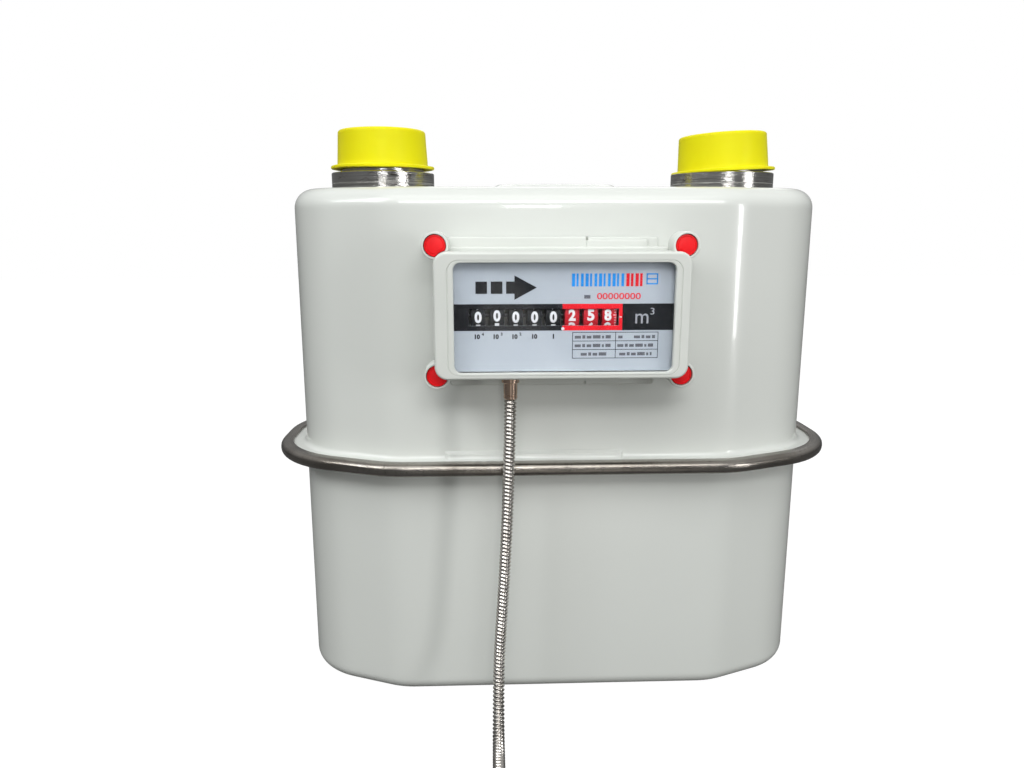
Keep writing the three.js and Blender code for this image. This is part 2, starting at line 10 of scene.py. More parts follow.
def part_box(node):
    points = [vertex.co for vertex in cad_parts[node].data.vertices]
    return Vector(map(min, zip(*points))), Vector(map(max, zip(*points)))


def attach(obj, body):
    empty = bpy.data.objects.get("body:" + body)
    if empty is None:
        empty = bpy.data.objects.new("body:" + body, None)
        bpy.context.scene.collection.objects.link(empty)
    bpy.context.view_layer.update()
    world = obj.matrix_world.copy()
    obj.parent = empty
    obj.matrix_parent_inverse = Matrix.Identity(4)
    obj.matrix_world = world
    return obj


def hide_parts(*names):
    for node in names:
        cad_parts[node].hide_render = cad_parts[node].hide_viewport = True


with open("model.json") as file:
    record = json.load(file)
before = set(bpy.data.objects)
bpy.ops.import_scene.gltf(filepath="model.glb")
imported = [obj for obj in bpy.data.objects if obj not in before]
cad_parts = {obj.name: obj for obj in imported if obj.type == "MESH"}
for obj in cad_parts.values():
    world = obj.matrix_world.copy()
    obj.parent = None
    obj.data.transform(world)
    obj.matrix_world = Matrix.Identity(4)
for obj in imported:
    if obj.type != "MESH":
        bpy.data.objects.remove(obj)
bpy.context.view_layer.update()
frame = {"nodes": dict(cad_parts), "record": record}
mm = 0.001


# ---- view, floor and light

viewSetup = {
    "place": (-0.0461, -0.5181, 0.2951),
    "turn": 2.09, "tilt": 11.5, "roll": -0.05,  # degrees
    "lens": 27.21, "sensor": 36.0,
}

lightSetup = {
    "world": {"camera": 1.0, "low": 0.10, "horizon": 0.20, "high": 0.64, "tint": (0.985, 0.995, 1.0)},
    # reflections see a darker floor with a pale lane that runs towards the viewer
    "floor": {"half": 4.0, "colour": (0.08, 0.077, 0.072), "seen": 0.975, "mirrored": 0.13,
              "lane": (0.04, 0.06, 0.13), "laneStart": (-0.38, -0.26), "laneTint": (0.62, 0.60, 0.57)},
    # name: place, aimed at, width, height, power, colour
    "lamps": {
        "overheadBox": ((-0.16, -0.85, 1.38), (0.0, 0.0, 0.17), 1.3, 0.8, 5.3, (1.0, 1.0, 0.985)),
        "frontWindow": ((0.10, -1.18, 0.98), (0.0, 0.0, 0.22), 0.9, 0.24, 5.3, (1.0, 1.0, 1.0)),
        "rightStrip": ((1.20, -1.10, 0.34), (0.1, 0.0, 0.08), 0.16, 0.66, 5.2, (1.0, 1.0, 1.0)),
        "leftWindow": ((-1.35, -1.10, 1.55), (-0.1, 0.0, 0.30), 0.7, 0.7, 12.0, (0.97, 0.99, 1.0)),
        "collarStrip": ((0.10, -1.9, 0.56), (0.0, 0.0, 0.32), 0.16, 0.24, 2.4, (1.0, 1.0, 1.0)),
        "rearBox": ((0.3, 1.5, 1.3), (0.0, 0.0, 0.2), 1.4, 0.9, 3.5, (1.0, 1.0, 1.0)),
    },
}


# the camera turns about the upright axis, then tips down, then rolls about its own line of sight
def makeCamera(setup):
    data = bpy.data.cameras.new("frontView")
    data.lens = setup["lens"]
    data.sensor_width = setup["sensor"]
    data.clip_start = 0.01
    camera = bpy.data.objects.new("frontView", data)
    bpy.context.collection.objects.link(camera)
    turn = Matrix.Rotation(-math.radians(setup["turn"]), 4, "Z")
    tilt = Matrix.Rotation(math.radians(90 - setup["tilt"]), 4, "X")
    roll = Matrix.Rotation(math.radians(setup["roll"]), 4, "Z")
    camera.matrix_world = Matrix.Translation(setup["place"]) @ turn @ tilt @ roll
    bpy.context.scene.camera = camera
    bpy.context.scene.view_settings.view_transform = "Standard"
    return camera


makeCamera(viewSetup)
print("camera placed")


# ---- shared effects as node groups

# a node of the named kind; values are put on its inputs or linked to them
def addNode(tree, kind, values=None, **settings):
    made = tree.nodes.new("ShaderNode" + kind)
    for key, value in settings.items():
        setattr(made, key, value)
    for key, value in (values or {}).items():
        if isinstance(value, bpy.types.NodeSocket):
            tree.links.new(value, made.inputs[key])
        else:
            made.inputs[key].default_value = value
    return made


def remap(tree, value, fromMin, fromMax, toMin=0.0, toMax=1.0, curve="LINEAR"):
    values = {"Value": value, "From Min": fromMin, "From Max": fromMax, "To Min": toMin, "To Max": toMax}
    return addNode(tree, "MapRange", values, interpolation_type=curve).outputs["Result"]


def reckon(tree, operation, *values):
    return addNode(tree, "Math", dict(enumerate(values)), operation=operation).outputs[0]


# inputs that start as a number are single values, all others are vectors
def newGroup(name, inputs, output):
    group = bpy.data.node_groups.new(name, "ShaderNodeTree")
    for label, value in inputs.items():
        kind = "NodeSocketFloat" if isinstance(value, float) else "NodeSocketVector"
        socket = group.interface.new_socket(name=label, in_out="INPUT", socket_type=kind)
        if value is not None:
            socket.default_value = value
    group.interface.new_socket(name=output, in_out="OUTPUT", socket_type="NodeSocketFloat")
    given = group.nodes.new("NodeGroupInput").outputs
    return group, given, group.nodes.new("NodeGroupOutput").inputs[0]


# noise spread between a low and a high value
def makeMottle():
    group, given, result = newGroup("mottle", {
        "Vector": None, "Scale": 20.0, "Detail": 3.0, "Low": 0.0, "High": 1.0}, "Value")
    noise = addNode(group, "TexNoise", {"Vector": given["Vector"], "Scale": given["Scale"],
                                        "Detail": given["Detail"], "Roughness": 0.55})
    group.links.new(remap(group, noise.outputs["Fac"], 0.3, 0.7, given["Low"], given["High"]), result)
    return group


# noise drawn out along one direction, as brushing and turning marks are
def makeBrushed():
    group, given, result = newGroup("brushed", {
        "Vector": None, "Stretch": (1, 1, 1), "Low": 0.0, "High": 1.0}, "Value")
    drawn = addNode(group, "VectorMath", {0: given["Vector"], 1: given["Stretch"]}, operation="MULTIPLY")
    noise = addNode(group, "TexNoise", {"Vector": drawn.outputs[0], "Scale": 1.0, "Detail": 4.0,
                                        "Roughness": 0.65})
    group.links.new(remap(group, noise.outputs["Fac"], 0.25, 0.75, given["Low"], given["High"]), result)
    return group


# thin broken lines: the edges of drawn-out cells, kept only where a coarse noise is high
def makeScratches():
    group, given, result = newGroup("scratches", {
        "Vector": None, "Stretch": (60, 60, 60), "Width": 0.02, "Amount": 0.4}, "Mask")
    drawn = addNode(group, "VectorMath", {0: given["Vector"], 1: given["Stretch"]}, operation="MULTIPLY")
    cells = addNode(group, "TexVoronoi", {"Vector": drawn.outputs[0], "Scale": 1.0},
                    feature="DISTANCE_TO_EDGE")
    line = remap(group, cells.outputs["Distance"], given["Width"], 0.0)
    patch = addNode(group, "TexNoise", {"Vector": drawn.outputs[0], "Scale": 0.7, "Detail": 2.0})
    keep = reckon(group, "GREATER_THAN", given["Amount"], patch.outputs["Fac"])
    group.links.new(reckon(group, "MULTIPLY", line, keep), result)
    return group


# dust lies on what faces up, in soft patches
def makeDust():
    group, given, result = newGroup("dust", {"Vector": None, "Amount": 0.3}, "Mask")
    axes = addNode(group, "SeparateXYZ", {0: addNode(group, "NewGeometry").outputs["Normal"]})
    upward = remap(group, axes.outputs["Z"], 0.35, 1.0)
    patch = addNode(group, "TexNoise", {"Vector": given["Vector"], "Scale": 26.0, "Detail": 5.0})
    both = reckon(group, "MULTIPLY", upward, patch.outputs["Fac"])
    group.links.new(reckon(group, "MULTIPLY", both, given["Amount"]), result)
    return group


effects = {"mottle": makeMottle(), "brushed": makeBrushed(), "scratches": makeScratches(),
           "dust": makeDust()}


def useEffect(tree, name, values):
    return addNode(tree, "Group", values, node_tree=effects[name]).outputs[0]


def rgba(colour):
    return (*colour, 1.0)


def blendColours(tree, share, *pair):
    first, second = (part if isinstance(part, bpy.types.NodeSocket) else rgba(part) for part in pair)
    return addNode(tree, "Mix", {0: share, 6: first, 7: second}, data_type="RGBA").outputs[2]


# ---- materials: one dictionary for each finish

# two tones, the scale of the blotches between them, and the range of roughness
def toned(colour, shade, blotch, rough, **more):
    return {"colour": colour, "shade": shade, "blotch": blotch, "rough": rough, **more}


finishes = {
    "painted_case": toned((0.700, 0.722, 0.686), (0.688, 0.711, 0.676), 6.0, (0.22, 0.27), coat=0.5,
                          coatRough=0.05, waves=(7.0, 0.7), grain=(900.0, 0.010),
                          dust=(0.10, (0.62, 0.60, 0.55))),
    "band_steel": toned((0.38, 0.355, 0.325), (0.22, 0.198, 0.172), 26.0, (0.16, 0.27), metal=1.0,
                        onUV=True, brushed=((14.0, 1500.0, 1.0), 0.06),
                        scratch=((900.0, 160.0, 1.0), 0.05, 0.42, (0.10, 0.085, 0.075))),
    "stub_steel": toned((0.62, 0.61, 0.59), (0.44, 0.43, 0.41), 22.0, (0.10, 0.20), metal=1.0,
                        brushed=((6.0, 6.0, 1600.0), 0.06),
                        scratch=((120.0, 120.0, 300.0), 0.03, 0.45, (0.16, 0.12, 0.09))),
    "cap_plastic": toned((0.84, 0.79, 0.006), (0.77, 0.70, 0.005), 14.0, (0.38, 0.50), shine=0.15,
                         soft=0.35, grain=(420.0, 0.02), waves=(16.0, 0.25)),
    "gasket_rubber": toned((0.030, 0.030, 0.030), (0.050, 0.050, 0.048), 40.0, (0.65, 0.85),
                           grain=(700.0, 0.04)),
    "unit_plastic": toned((0.055, 0.060, 0.068), (0.080, 0.085, 0.090), 25.0, (0.45, 0.62),
                          grain=(800.0, 0.03)),
    "diaphragm_rubber": toned((0.060, 0.052, 0.045), (0.095, 0.082, 0.070), 60.0, (0.70, 0.90),
                              grain=(1400.0, 0.05)),
    "zinc_steel": toned((0.46, 0.47, 0.48), (0.36, 0.37, 0.39), 60.0, (0.30, 0.48), metal=1.0,
                        brushed=((40.0, 40.0, 700.0), 0.04)),
    "brass": toned((0.62, 0.42, 0.17), (0.47, 0.31, 0.12), 50.0, (0.24, 0.40), metal=1.0,
                   brushed=((300.0, 300.0, 900.0), 0.03)),
    "gear_plastic": toned((0.78, 0.76, 0.70), (0.72, 0.69, 0.62), 40.0, (0.40, 0.55),
                          grain=(900.0, 0.02)),
    "index_moulding": toned((0.690, 0.710, 0.672), (0.655, 0.680, 0.642), 20.0, (0.30, 0.40),
                            grain=(1500.0, 0.010), waves=(30.0, 0.12)),
    "dial_print": toned((0.395, 0.435, 0.47), (0.375, 0.415, 0.455), 30.0, (0.42, 0.55), shine=0.15,
                        grain=(1800.0, 0.006)),
    "drum_black": toned((0.006, 0.007, 0.008), (0.014, 0.015, 0.017), 220.0, (0.30, 0.48),
                        shine=0.15, grain=(1600.0, 0.01)),
    "drum_red": toned((0.48, 0.012, 0.022), (0.38, 0.008, 0.015), 220.0, (0.30, 0.48), shine=0.15,
                      grain=(1600.0, 0.01)),
    "seal_red": toned((0.92, 0.012, 0.018), (0.80, 0.009, 0.014), 160.0, (0.30, 0.45), shine=0.3,
                      grain=(1100.0, 0.02)),
    "circuit_board": toned((0.030, 0.160, 0.055), (0.020, 0.120, 0.040), 200.0, (0.35, 0.50),
                           grain=(2500.0, 0.01)),
    "ferrule_metal": toned((0.70, 0.53, 0.42), (0.52, 0.37, 0.28), 90.0, (0.14, 0.24), metal=1.0,
                           brushed=((30.0, 30.0, 1500.0), 0.03),
                           scratch=((200.0, 200.0, 500.0), 0.03, 0.42, (0.20, 0.12, 0.08))),
    "conduit_steel": toned((0.60, 0.575, 0.545), (0.44, 0.41, 0.38), 160.0, (0.14, 0.26), metal=1.0,
                           grain=(1400.0, 0.012)),
    "lead_plastic": toned((0.020, 0.020, 0.021), (0.034, 0.034, 0.035), 70.0, (0.42, 0.60),
                          grain=(1200.0, 0.03)),
}
inks = {
    "black": ((0.004, 0.005, 0.007), (0.010, 0.011, 0.013), 300.0, (0.35, 0.50)),
    "red": ((0.72, 0.008, 0.018), (0.62, 0.006, 0.014), 200.0, (0.35, 0.50)),
    "blue": ((0.015, 0.27, 0.72), (0.012, 0.22, 0.62), 200.0, (0.35, 0.50)),
    "entry": ((0.085, 0.09, 0.105), (0.12, 0.125, 0.14), 700.0, (0.40, 0.55)),
    "grey": ((0.34, 0.355, 0.38), (0.29, 0.30, 0.33), 400.0, (0.40, 0.55)),
    "white": ((0.72, 0.73, 0.74), (0.60, 0.61, 0.62), 400.0, (0.40, 0.55)),
}
for ink, values in inks.items():
    finishes["mark_" + ink] = toned(*values, shine=0.15, grain=(1800.0, 0.004))


def newMaterial(name):
    material = bpy.data.materials.new(name)
    material.use_nodes = True
    tree = material.node_tree
    return material, tree, tree.nodes["Principled BSDF"]


def setInputs(node, values):
    for key, value in values.items():
        node.inputs[key].default_value = value


# colour wanders between two tones, roughness wanders too, and the height is waves, grain and lines
def makeMaterial(name, look):
    material, tree, shader = newMaterial(name)
    coords = addNode(tree, "TexCoord")
    place = coords.outputs["Object"]
    along = coords.outputs["UV"] if look.get("onUV") else place

    share = useEffect(tree, "mottle", {"Vector": place, "Scale": look["blotch"], "Low": 0.0, "High": 1.0})
    colour = blendColours(tree, share, look["colour"], look["shade"])
    low, high = look["rough"]
    roughness = useEffect(tree, "mottle", {"Vector": place, "Scale": look["blotch"] * 3.1,
                                           "Low": low, "High": high})
    heights = []  # each a value and the depth in millimetres that it stands for
    for key, detail in (("waves", {"Detail": 1.0}), ("grain", {})):
        if key in look:
            scale, depth = look[key]
            height = useEffect(tree, "mottle", {"Vector": place, "Scale": scale, **detail})
            heights.append((height, depth))
    if "brushed" in look:
        stretch, depth = look["brushed"]
        lines = useEffect(tree, "brushed", {"Vector": along, "Stretch": stretch})
        heights.append((lines, depth))
        tone = remap(tree, lines, 0.0, 1.0, 0.72, 1.12)
        colour = addNode(tree, "VectorMath", {0: colour, "Scale": tone}, operation="SCALE").outputs[0]
    if "scratch" in look:
        stretch, width, amount, tint = look["scratch"]
        mask = useEffect(tree, "scratches", {"Vector": along, "Stretch": stretch, "Width": width,
                                             "Amount": amount})
        colour = blendColours(tree, mask, colour, tint)
    if "dust" in look:
        amount, tint = look["dust"]
        mask = useEffect(tree, "dust", {"Vector": place, "Amount": amount})
        colour = blendColours(tree, mask, colour, tint)
    tree.links.new(colour, shader.inputs["Base Color"])
    tree.links.new(roughness, shader.inputs["Roughness"])

    last = {}
    for height, depth in heights:
        bump = addNode(tree, "Bump", {"Height": height, "Distance": depth * mm, "Strength": 1.0, **last})
        last = {"Normal": bump.outputs["Normal"]}
    if last:
        tree.links.new(last["Normal"], shader.inputs["Normal"])
    setInputs(shader, {
        "Metallic": look.get("metal", 0.0), "Specular IOR Level": look.get("shine", 0.5),
        "Coat Weight": look.get("coat", 0.0), "Coat Roughness": look.get("coatRough", 0.1)})
    if "soft" in look:
        setInputs(shader, {"Subsurface Weight": look["soft"], "Subsurface Radius": (1.0, 0.8, 0.1),
                           "Subsurface Scale": 0.002})
    return material


paneLook = {"colour": (0.97, 0.98, 1.0), "rough": (0.02, 0.06), "scale": 40.0, "ior": 1.45, "shine": 0.1}


# clear plastic that lets lamp light straight through
def makePane(name, look):
    material, tree, shader = newMaterial(name)
    place = addNode(tree, "TexCoord").outputs["Object"]
    low, high = look["rough"]
    smears = useEffect(tree, "mottle", {"Vector": place, "Scale": look["scale"], "Low": low,
                                        "High": high})
    tree.links.new(smears, shader.inputs["Roughness"])
    setInputs(shader, {"Base Color": rgba(look["colour"]), "Transmission Weight": 1.0,
                       "IOR": look["ior"], "Specular IOR Level": look["shine"]})
    clear = addNode(tree, "BsdfTransparent").outputs[0]
    shadow = addNode(tree, "LightPath").outputs["Is Shadow Ray"]
    mix = addNode(tree, "MixShader", {0: shadow, 1: shader.outputs[0], 2: clear})
    tree.links.new(mix.outputs[0], tree.nodes["Material Output"].inputs["Surface"])
    return material


materials = {name: makeMaterial(name, look) for name, look in finishes.items()}
materials["window"] = makePane("window", paneLook)
print("materials made")


# ---- surfaces

# quads between neighbouring points of a grid, wrapped round where the grid closes on itself
def gridFaces(rows, columns, wrapRows, wrapColumns):
    i = np.arange(rows if wrapRows else rows - 1)[:, None]
    j = np.arange(columns if wrapColumns else columns - 1)[None, :]
    up, right = (i + 1) % rows, (j + 1) % columns
    corners = [i * columns + j, i * columns + right, up * columns + right, up * columns + j]
    return np.stack(np.broadcast_arrays(*corners), -1).reshape(-1, 4)


def gridMesh(name, grid, wrapRows, wrapColumns, measure=None):
    rows, columns = grid.shape[:2]
    faces = gridFaces(rows, columns, wrapRows, wrapColumns)
    mesh = bpy.data.meshes.new(name)
    mesh.from_pydata(grid.reshape(-1, 3), [], faces)
    if measure is not None:  # distances along rows and columns become the UV map
        i, j = (faces // columns), (faces % columns)
        i = np.where((i == 0) & (i[:, :1] == rows - 1), rows, i)
        j = np.where((j == 0) & (j[:, :1] == columns - 1), columns, j)
        along, across = measure
        layer = mesh.uv_layers.new(name="UVMap")
        layer.data.foreach_set("uv", np.stack([along[j], across[i]], -1).ravel())
    return mesh


# merges doubles and turns the faces outwards
def closeMesh(mesh, weld=2e-6):
    work = bmesh.new()
    work.from_mesh(mesh)
    bmesh.ops.remove_doubles(work, verts=work.verts, dist=weld)
    bmesh.ops.dissolve_degenerate(work, dist=weld * 0.5, edges=work.edges)
    bmesh.ops.recalc_face_normals(work, faces=work.faces)
    work.to_mesh(mesh)
    work.free()
    return mesh


def newObject(name, mesh):
    made = bpy.data.objects.new(name, mesh)
    bpy.context.collection.objects.link(made)
    return made


# a closed solid from a grid whose columns run round it
def solidFrom(name, grid, wrap=False, unit=mm):
    return newObject(name, closeMesh(gridMesh(name, grid * unit, wrap, True)))


def solidOf(name, points, faces):
    mesh = bpy.data.meshes.new(name)
    mesh.from_pydata(points * mm, [], faces)
    return newObject(name, closeMesh(mesh, 1e-7))


# gives a finished piece its shading, finish, body and the nodes it stands for
def settle(piece, body, finish, replaced=(), sharp=35.0):
    piece.data.shade_smooth()
    piece.data.set_sharp_from_angle(angle=math.radians(sharp))
    piece.data.materials.clear()
    piece.data.materials.append(materials[finish])
    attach(piece, body)
    if replaced:
        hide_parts(*replaced)
    return piece


def pick(shape, names):
    return [shape[name] for name in names.split()]


# cuts or joins one solid with another by a boolean, then drops the second
def combine(piece, tool, operation):
    modifier = piece.modifiers.new("join", "BOOLEAN")
    modifier.object, modifier.operation, modifier.solver = tool, operation, "EXACT"
    graph = bpy.context.evaluated_depsgraph_get()
    mesh = bpy.data.meshes.new_from_object(piece.evaluated_get(graph))
    piece.modifiers.clear()
    piece.data = mesh
    bpy.data.objects.remove(tool)
    return piece


# corners are x, y, radius, anticlockwise; each becomes an arc, with evenly spaced points between arcs
def roundedPath(corners, arcSteps, sideSteps):
    corner = np.array(corners, float)
    point, radius = corner[:, :2], corner[:, 2:]
    toLast, toNext = np.roll(point, 1, 0) - point, np.roll(point, -1, 0) - point
    toLast /= np.linalg.norm(toLast, axis=1, keepdims=True)
    toNext /= np.linalg.norm(toNext, axis=1, keepdims=True)
    half = np.arccos((toLast * toNext).sum(1, keepdims=True)) / 2
    middle = toLast + toNext
    centre = point + middle / np.linalg.norm(middle, axis=1, keepdims=True) * radius / np.sin(half)
    start = point + toLast * radius / np.tan(half) - centre
    turn = (np.pi - 2 * half) * np.linspace(0, 1, arcSteps + 1)
    x = centre[:, :1] + start[:, :1] * np.cos(turn) - start[:, 1:] * np.sin(turn)
    y = centre[:, 1:] + start[:, :1] * np.sin(turn) + start[:, 1:] * np.cos(turn)
    arcs = np.stack([x, y], -1)
    pieces = []
    for k, steps in enumerate(sideSteps):
        share = np.linspace(0, 1, steps + 2)[1:-1, None]
        pieces += [arcs[k], arcs[k][-1] * (1 - share) + arcs[(k + 1) % len(arcs)][0] * share]
    return np.concatenate(pieces)


# a profile of radius and height turned about an upright axis; angles run along the columns
def turnedGrid(profile, x, y, sides=96):
    profile = np.array(profile, float)
    angle = np.linspace(0, 2 * np.pi, sides, endpoint=False)
    radius, height = profile[:, :1], np.repeat(profile[:, 1:], sides, 1)
    return np.stack([x + radius * np.cos(angle), y + radius * np.sin(angle), height], -1)


# the same about an axis along X or Y: the profile is radius and x, or radius and y
def turnedAlongX(profile, y, z, sides=96):
    grid = turnedGrid(profile, 0, 0, sides)
    return np.stack([grid[..., 2], y + grid[..., 0], z + grid[..., 1]], -1)


def turnedAlongY(profile, x, z, sides):
    grid = turnedGrid(profile, 0, 0, sides)
    return np.stack([x + grid[..., 0], grid[..., 2], z + grid[..., 1]], -1)


# points of a quarter or other arc, angles in degrees
def arcPoints(x, z, radius, first, last, steps):
    angle = np.radians(np.linspace(first, last, steps))
    return np.stack([x + radius * np.cos(angle), z + radius * np.sin(angle)], -1)


def smoothStep(value):
    value = np.clip(value, 0, 1)
    return value * value * (3 - 2 * value)


# ---- pulse lead: a flexible metal conduit that hangs, turns along the floor and lies in a coil

leadShape = {
    "diameter": 7.0 * mm, "pitch": 2.25 * mm, "groove": 0.85 * mm, "around": 20, "perPitch": 6,
    "route": [
        (-31.5, -94, 200), (-31.7, -94, 190), (-32.1, -94.1, 172), (-32.7, -94.5, 152),
        (-33.4, -95, 132), (-34.3, -95.5, 112), (-35.4, -96, 92), (-36.5, -96.4, 74),
        (-37.6, -97, 58), (-38.3, -98, 46), (-38.8, -100.4, 34.5), (-39.1, -105, 23.6),
        (-39.3, -112, 14.2), (-39.5, -121, 7.4), (-39.6, -131.5, 4.1), (-39.7, -143, 3.6),
        (-39.7, -157, 3.6), (-39.7, -171, 3.6), (-39.7, -184, 3.6), (-39.7, -196, 3.6),
    ],
    "coilCentre": (2.35, -222.0), "coilRadius": 38.5, "trackHalf": 3.55, "floor": 3.6,
    "second": 9.95, "crossing": 10.65, "top": 18.0,
    # degrees, counted on from 180 where the coil begins: where each change starts and how long it takes
    "inward": (470, 70), "outward": (830, 70), "climb": (750, 80), "sink": (900, 40),
    "lastClimb": (1095, 70), "coilEnd": 1165.0,
}


# a smooth line through given points: cubic pieces whose tangents come from the neighbours
def smoothLine(points, steps):
    points = np.array(points, float)
    before = np.concatenate([2 * points[:1] - points[1:2], points[:-1]])
    after = np.concatenate([points[1:], 2 * points[-1:] - points[-2:-1]])
    tangent = (after - before) / 2
    share = np.linspace(0, 1, steps, endpoint=False)[None, :, None]
    a, b, ta, tb = points[:-1, None], points[1:, None], tangent[:-1, None], tangent[1:, None]
    square, cube = share**2, share**3
    line = ((2 * cube - 3 * square + 1) * a + (cube - 2 * square + share) * ta
            + (3 * square - 2 * cube) * b + (cube - square) * tb)
    return np.concatenate([line.reshape(-1, 3), points[-1:]])


# the coil: an outer turn, an inner turn beside it, then a third in the groove on top of both
def coilLine(shape, step=1.0):
    degrees = np.arange(180.0, shape["coilEnd"] + step / 2, step)

    def change(name):
        start, run = shape[name]
        return smoothStep((degrees - start) / run)

    gap = shape["trackHalf"]
    radii = shape["coilRadius"] + gap - 2 * gap * change("inward") + gap * change("outward")
    low, second, crossing, top = pick(shape, "floor second crossing top")
    height = low + (crossing - low) * change("climb")
    height = height + (second - crossing) * change("sink") + (top - second) * change("lastClimb")
    angle = np.radians(degrees)
    x, y = shape["coilCentre"]
    return np.stack([x + radii * np.cos(angle), y + radii * np.sin(angle), height], -1)


# points spaced evenly by length along a line
def evenPoints(line, count):
    length = np.concatenate([[0], np.cumsum(np.linalg.norm(np.diff(line, axis=0), axis=1))])
    wanted = np.linspace(0, length[-1], count)
    return np.stack([np.interp(wanted, length, line[:, k]) for k in range(3)], -1), length[-1]


# radius = full radius less a narrow groove that winds round: cosine of (length over pitch less angle)
def makeLead(shape):
    coil = coilLine(shape)
    hanging = smoothLine(shape["route"], 24)
    straight = smoothLine([hanging[-1], coil[0]], 24)
    line = np.concatenate([hanging[:-1], straight[:-1], coil]) * mm
    line, length = evenPoints(line, 4000)
    rings = int(length / shape["pitch"] * shape["perPitch"])
    line, length = evenPoints(line, rings)
    tangent = np.gradient(line, axis=0)
    tangent /= np.linalg.norm(tangent, axis=1, keepdims=True)
    # sideways is -X while the lead hangs, and square to its run once it lies down
    flat = smoothStep((-line[:, 1:2] / mm - 140) / 40)
    side = -np.array([1.0, 0, 0]) * (1 - flat) + np.cross(tangent, [0, 0, 1.0]) * flat
    side -= tangent * (side * tangent).sum(1, keepdims=True)
    side /= np.linalg.norm(side, axis=1, keepdims=True)
    other = np.cross(side, tangent)
    around = shape["around"]
    angle = np.linspace(0, 2 * np.pi, around, endpoint=False)
    along = np.linspace(0, length, rings)[:, None]
    phase = 2 * np.pi * along / shape["pitch"] - angle[None, :]
    radius = shape["diameter"] / 2 - shape["groove"] * (0.5 + 0.5 * np.cos(phase)) ** 2
    grid = (line[:, None] + radius[..., None] * (side[:, None] * np.cos(angle)[None, :, None]
            + other[:, None] * np.sin(angle)[None, :, None]))
    ends = [np.repeat(line[k][None, None], around, 1) for k in (0, -1)]
    lead = solidFrom("pulse_lead", np.concatenate([ends[0], grid, ends[1]]), unit=1)
    settle(lead, "case", "conduit_steel", ["lead_tube", "lead_coil"], sharp=80)
    return lead, line, length


lead, leadLine, leadLength = makeLead(leadShape)
print("lead made, length", round(leadLength, 3))


# connector on the end of the lead: ribbed sleeve, body with a groove, open nose
def makeConnector(line):
    low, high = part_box("lead_connector")
    start = line[-1]
    heading = line[-1] - line[-6]
    heading /= np.linalg.norm(heading)
    rib = [[3.62 + 0.42 * (k % 2), 0.4 + 0.75 * k] for k in range(9)]
    profile = [[0, -0.2], [3.6, -0.2], *rib, [4.1, 7.2], [4.2, 7.8], [4.2, 12.6], [3.8, 12.9],
               [3.8, 13.9], [4.2, 14.2], [4.2, 25.0], [3.9, 25.6], [3.3, 25.6], [3.3, 18.5],
               [1.2, 18.5], [1.2, 24.0],
               [0, 24.0]]
    grid = turnedGrid(np.array(profile) * mm, 0, 0, 48)
    side = np.cross(heading, [0, 0, 1.0])
    side /= np.linalg.norm(side)
    over = np.cross(side, heading)
    grid = start + grid[..., :1] * side + grid[..., 1:2] * over + grid[..., 2:] * heading
    lift = (low.z + high.z) / 2 - start[2]
    grid[..., 2] += max(0.0, lift)
    return settle(solidFrom("connector_body", grid, unit=1), "case", "lead_plastic", ["lead_connector"])


connector = makeConnector(leadLine)

tieShape = {"thick": 1.0 * mm, "width": 7.0 * mm, "corner": 4.0 * mm}


# strap over the coil: a flat band carried along a rounded arch
def makeTie(shape):
    low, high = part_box("lead_tie")
    x0, x1, top, foot = low.x + 0.5 * mm, high.x - 0.5 * mm, high.z - 0.5 * mm, low.z + 0.2 * mm
    corner = shape["corner"]
    arch = np.concatenate([
        [[x0, foot]], arcPoints(x0 + corner, top - corner, corner, 180, 90, 12),
        arcPoints(x1 - corner, top - corner, corner, 90, 0, 12), [[x1, foot]],
    ])
    run = np.gradient(arch, axis=0)
    run /= np.linalg.norm(run, axis=1, keepdims=True)
    out = np.stack([-run[:, 1], run[:, 0]], -1)
    half, edge = shape["width"] / 2, shape["thick"] / 2
    section = roundedPath([(-half, -edge, edge * 0.8), (half, -edge, edge * 0.8),
                           (half, edge, edge * 0.8), (-half, edge, edge * 0.8)], 3, [3, 0, 3, 0])
    middle = (low.y + high.y) / 2
    flat = arch[:, None] + out[:, None] * section[None, :, 1:]
    grid = np.stack([flat[..., 0], np.broadcast_to(middle + section[:, 0], flat.shape[:2]),
                     flat[..., 1]], -1)
    ends = [np.repeat(grid[k].mean(0)[None, None], grid.shape[1], 1) for k in (0, -1)]
    strap = solidFrom("coil_tie", np.concatenate([ends[0], grid, ends[1]]), unit=1)
    return settle(strap, "case", "lead_plastic", ["lead_tie"])


# ---- ferrule of the lead

ferruleShape = {"place": (-31.5, -94.0), "radius": 3.9, "collar": 5.0, "low": 200.3, "high": 212.7}


def makeFerrule(shape):
    radius, collar, low, high = pick(shape, "radius collar low high")
    profile = [(2.2, low + 0.4), (2.6, low), (radius - 0.5, low), (radius, low + 0.5),
               (radius, low + 2.0), (radius - 0.25, low + 2.2), (radius - 0.25, low + 2.7),
               (radius, low + 2.9),
               (radius, high - 3.2), (collar - 0.3, high - 3.0), (collar, high - 2.7), (collar, high),
               (0, high), (0, high - 2), (2.2, high - 2)]
    grid = turnedGrid(profile, *shape["place"], 64)
    gland = solidFrom("lead_gland", grid, True)
    return settle(gland, "case", "ferrule_metal", ["lead_ferrule"], sharp=30)


tie = makeTie(tieShape)
ferrule = makeFerrule(ferruleShape)


# ---- floor, lamps and world

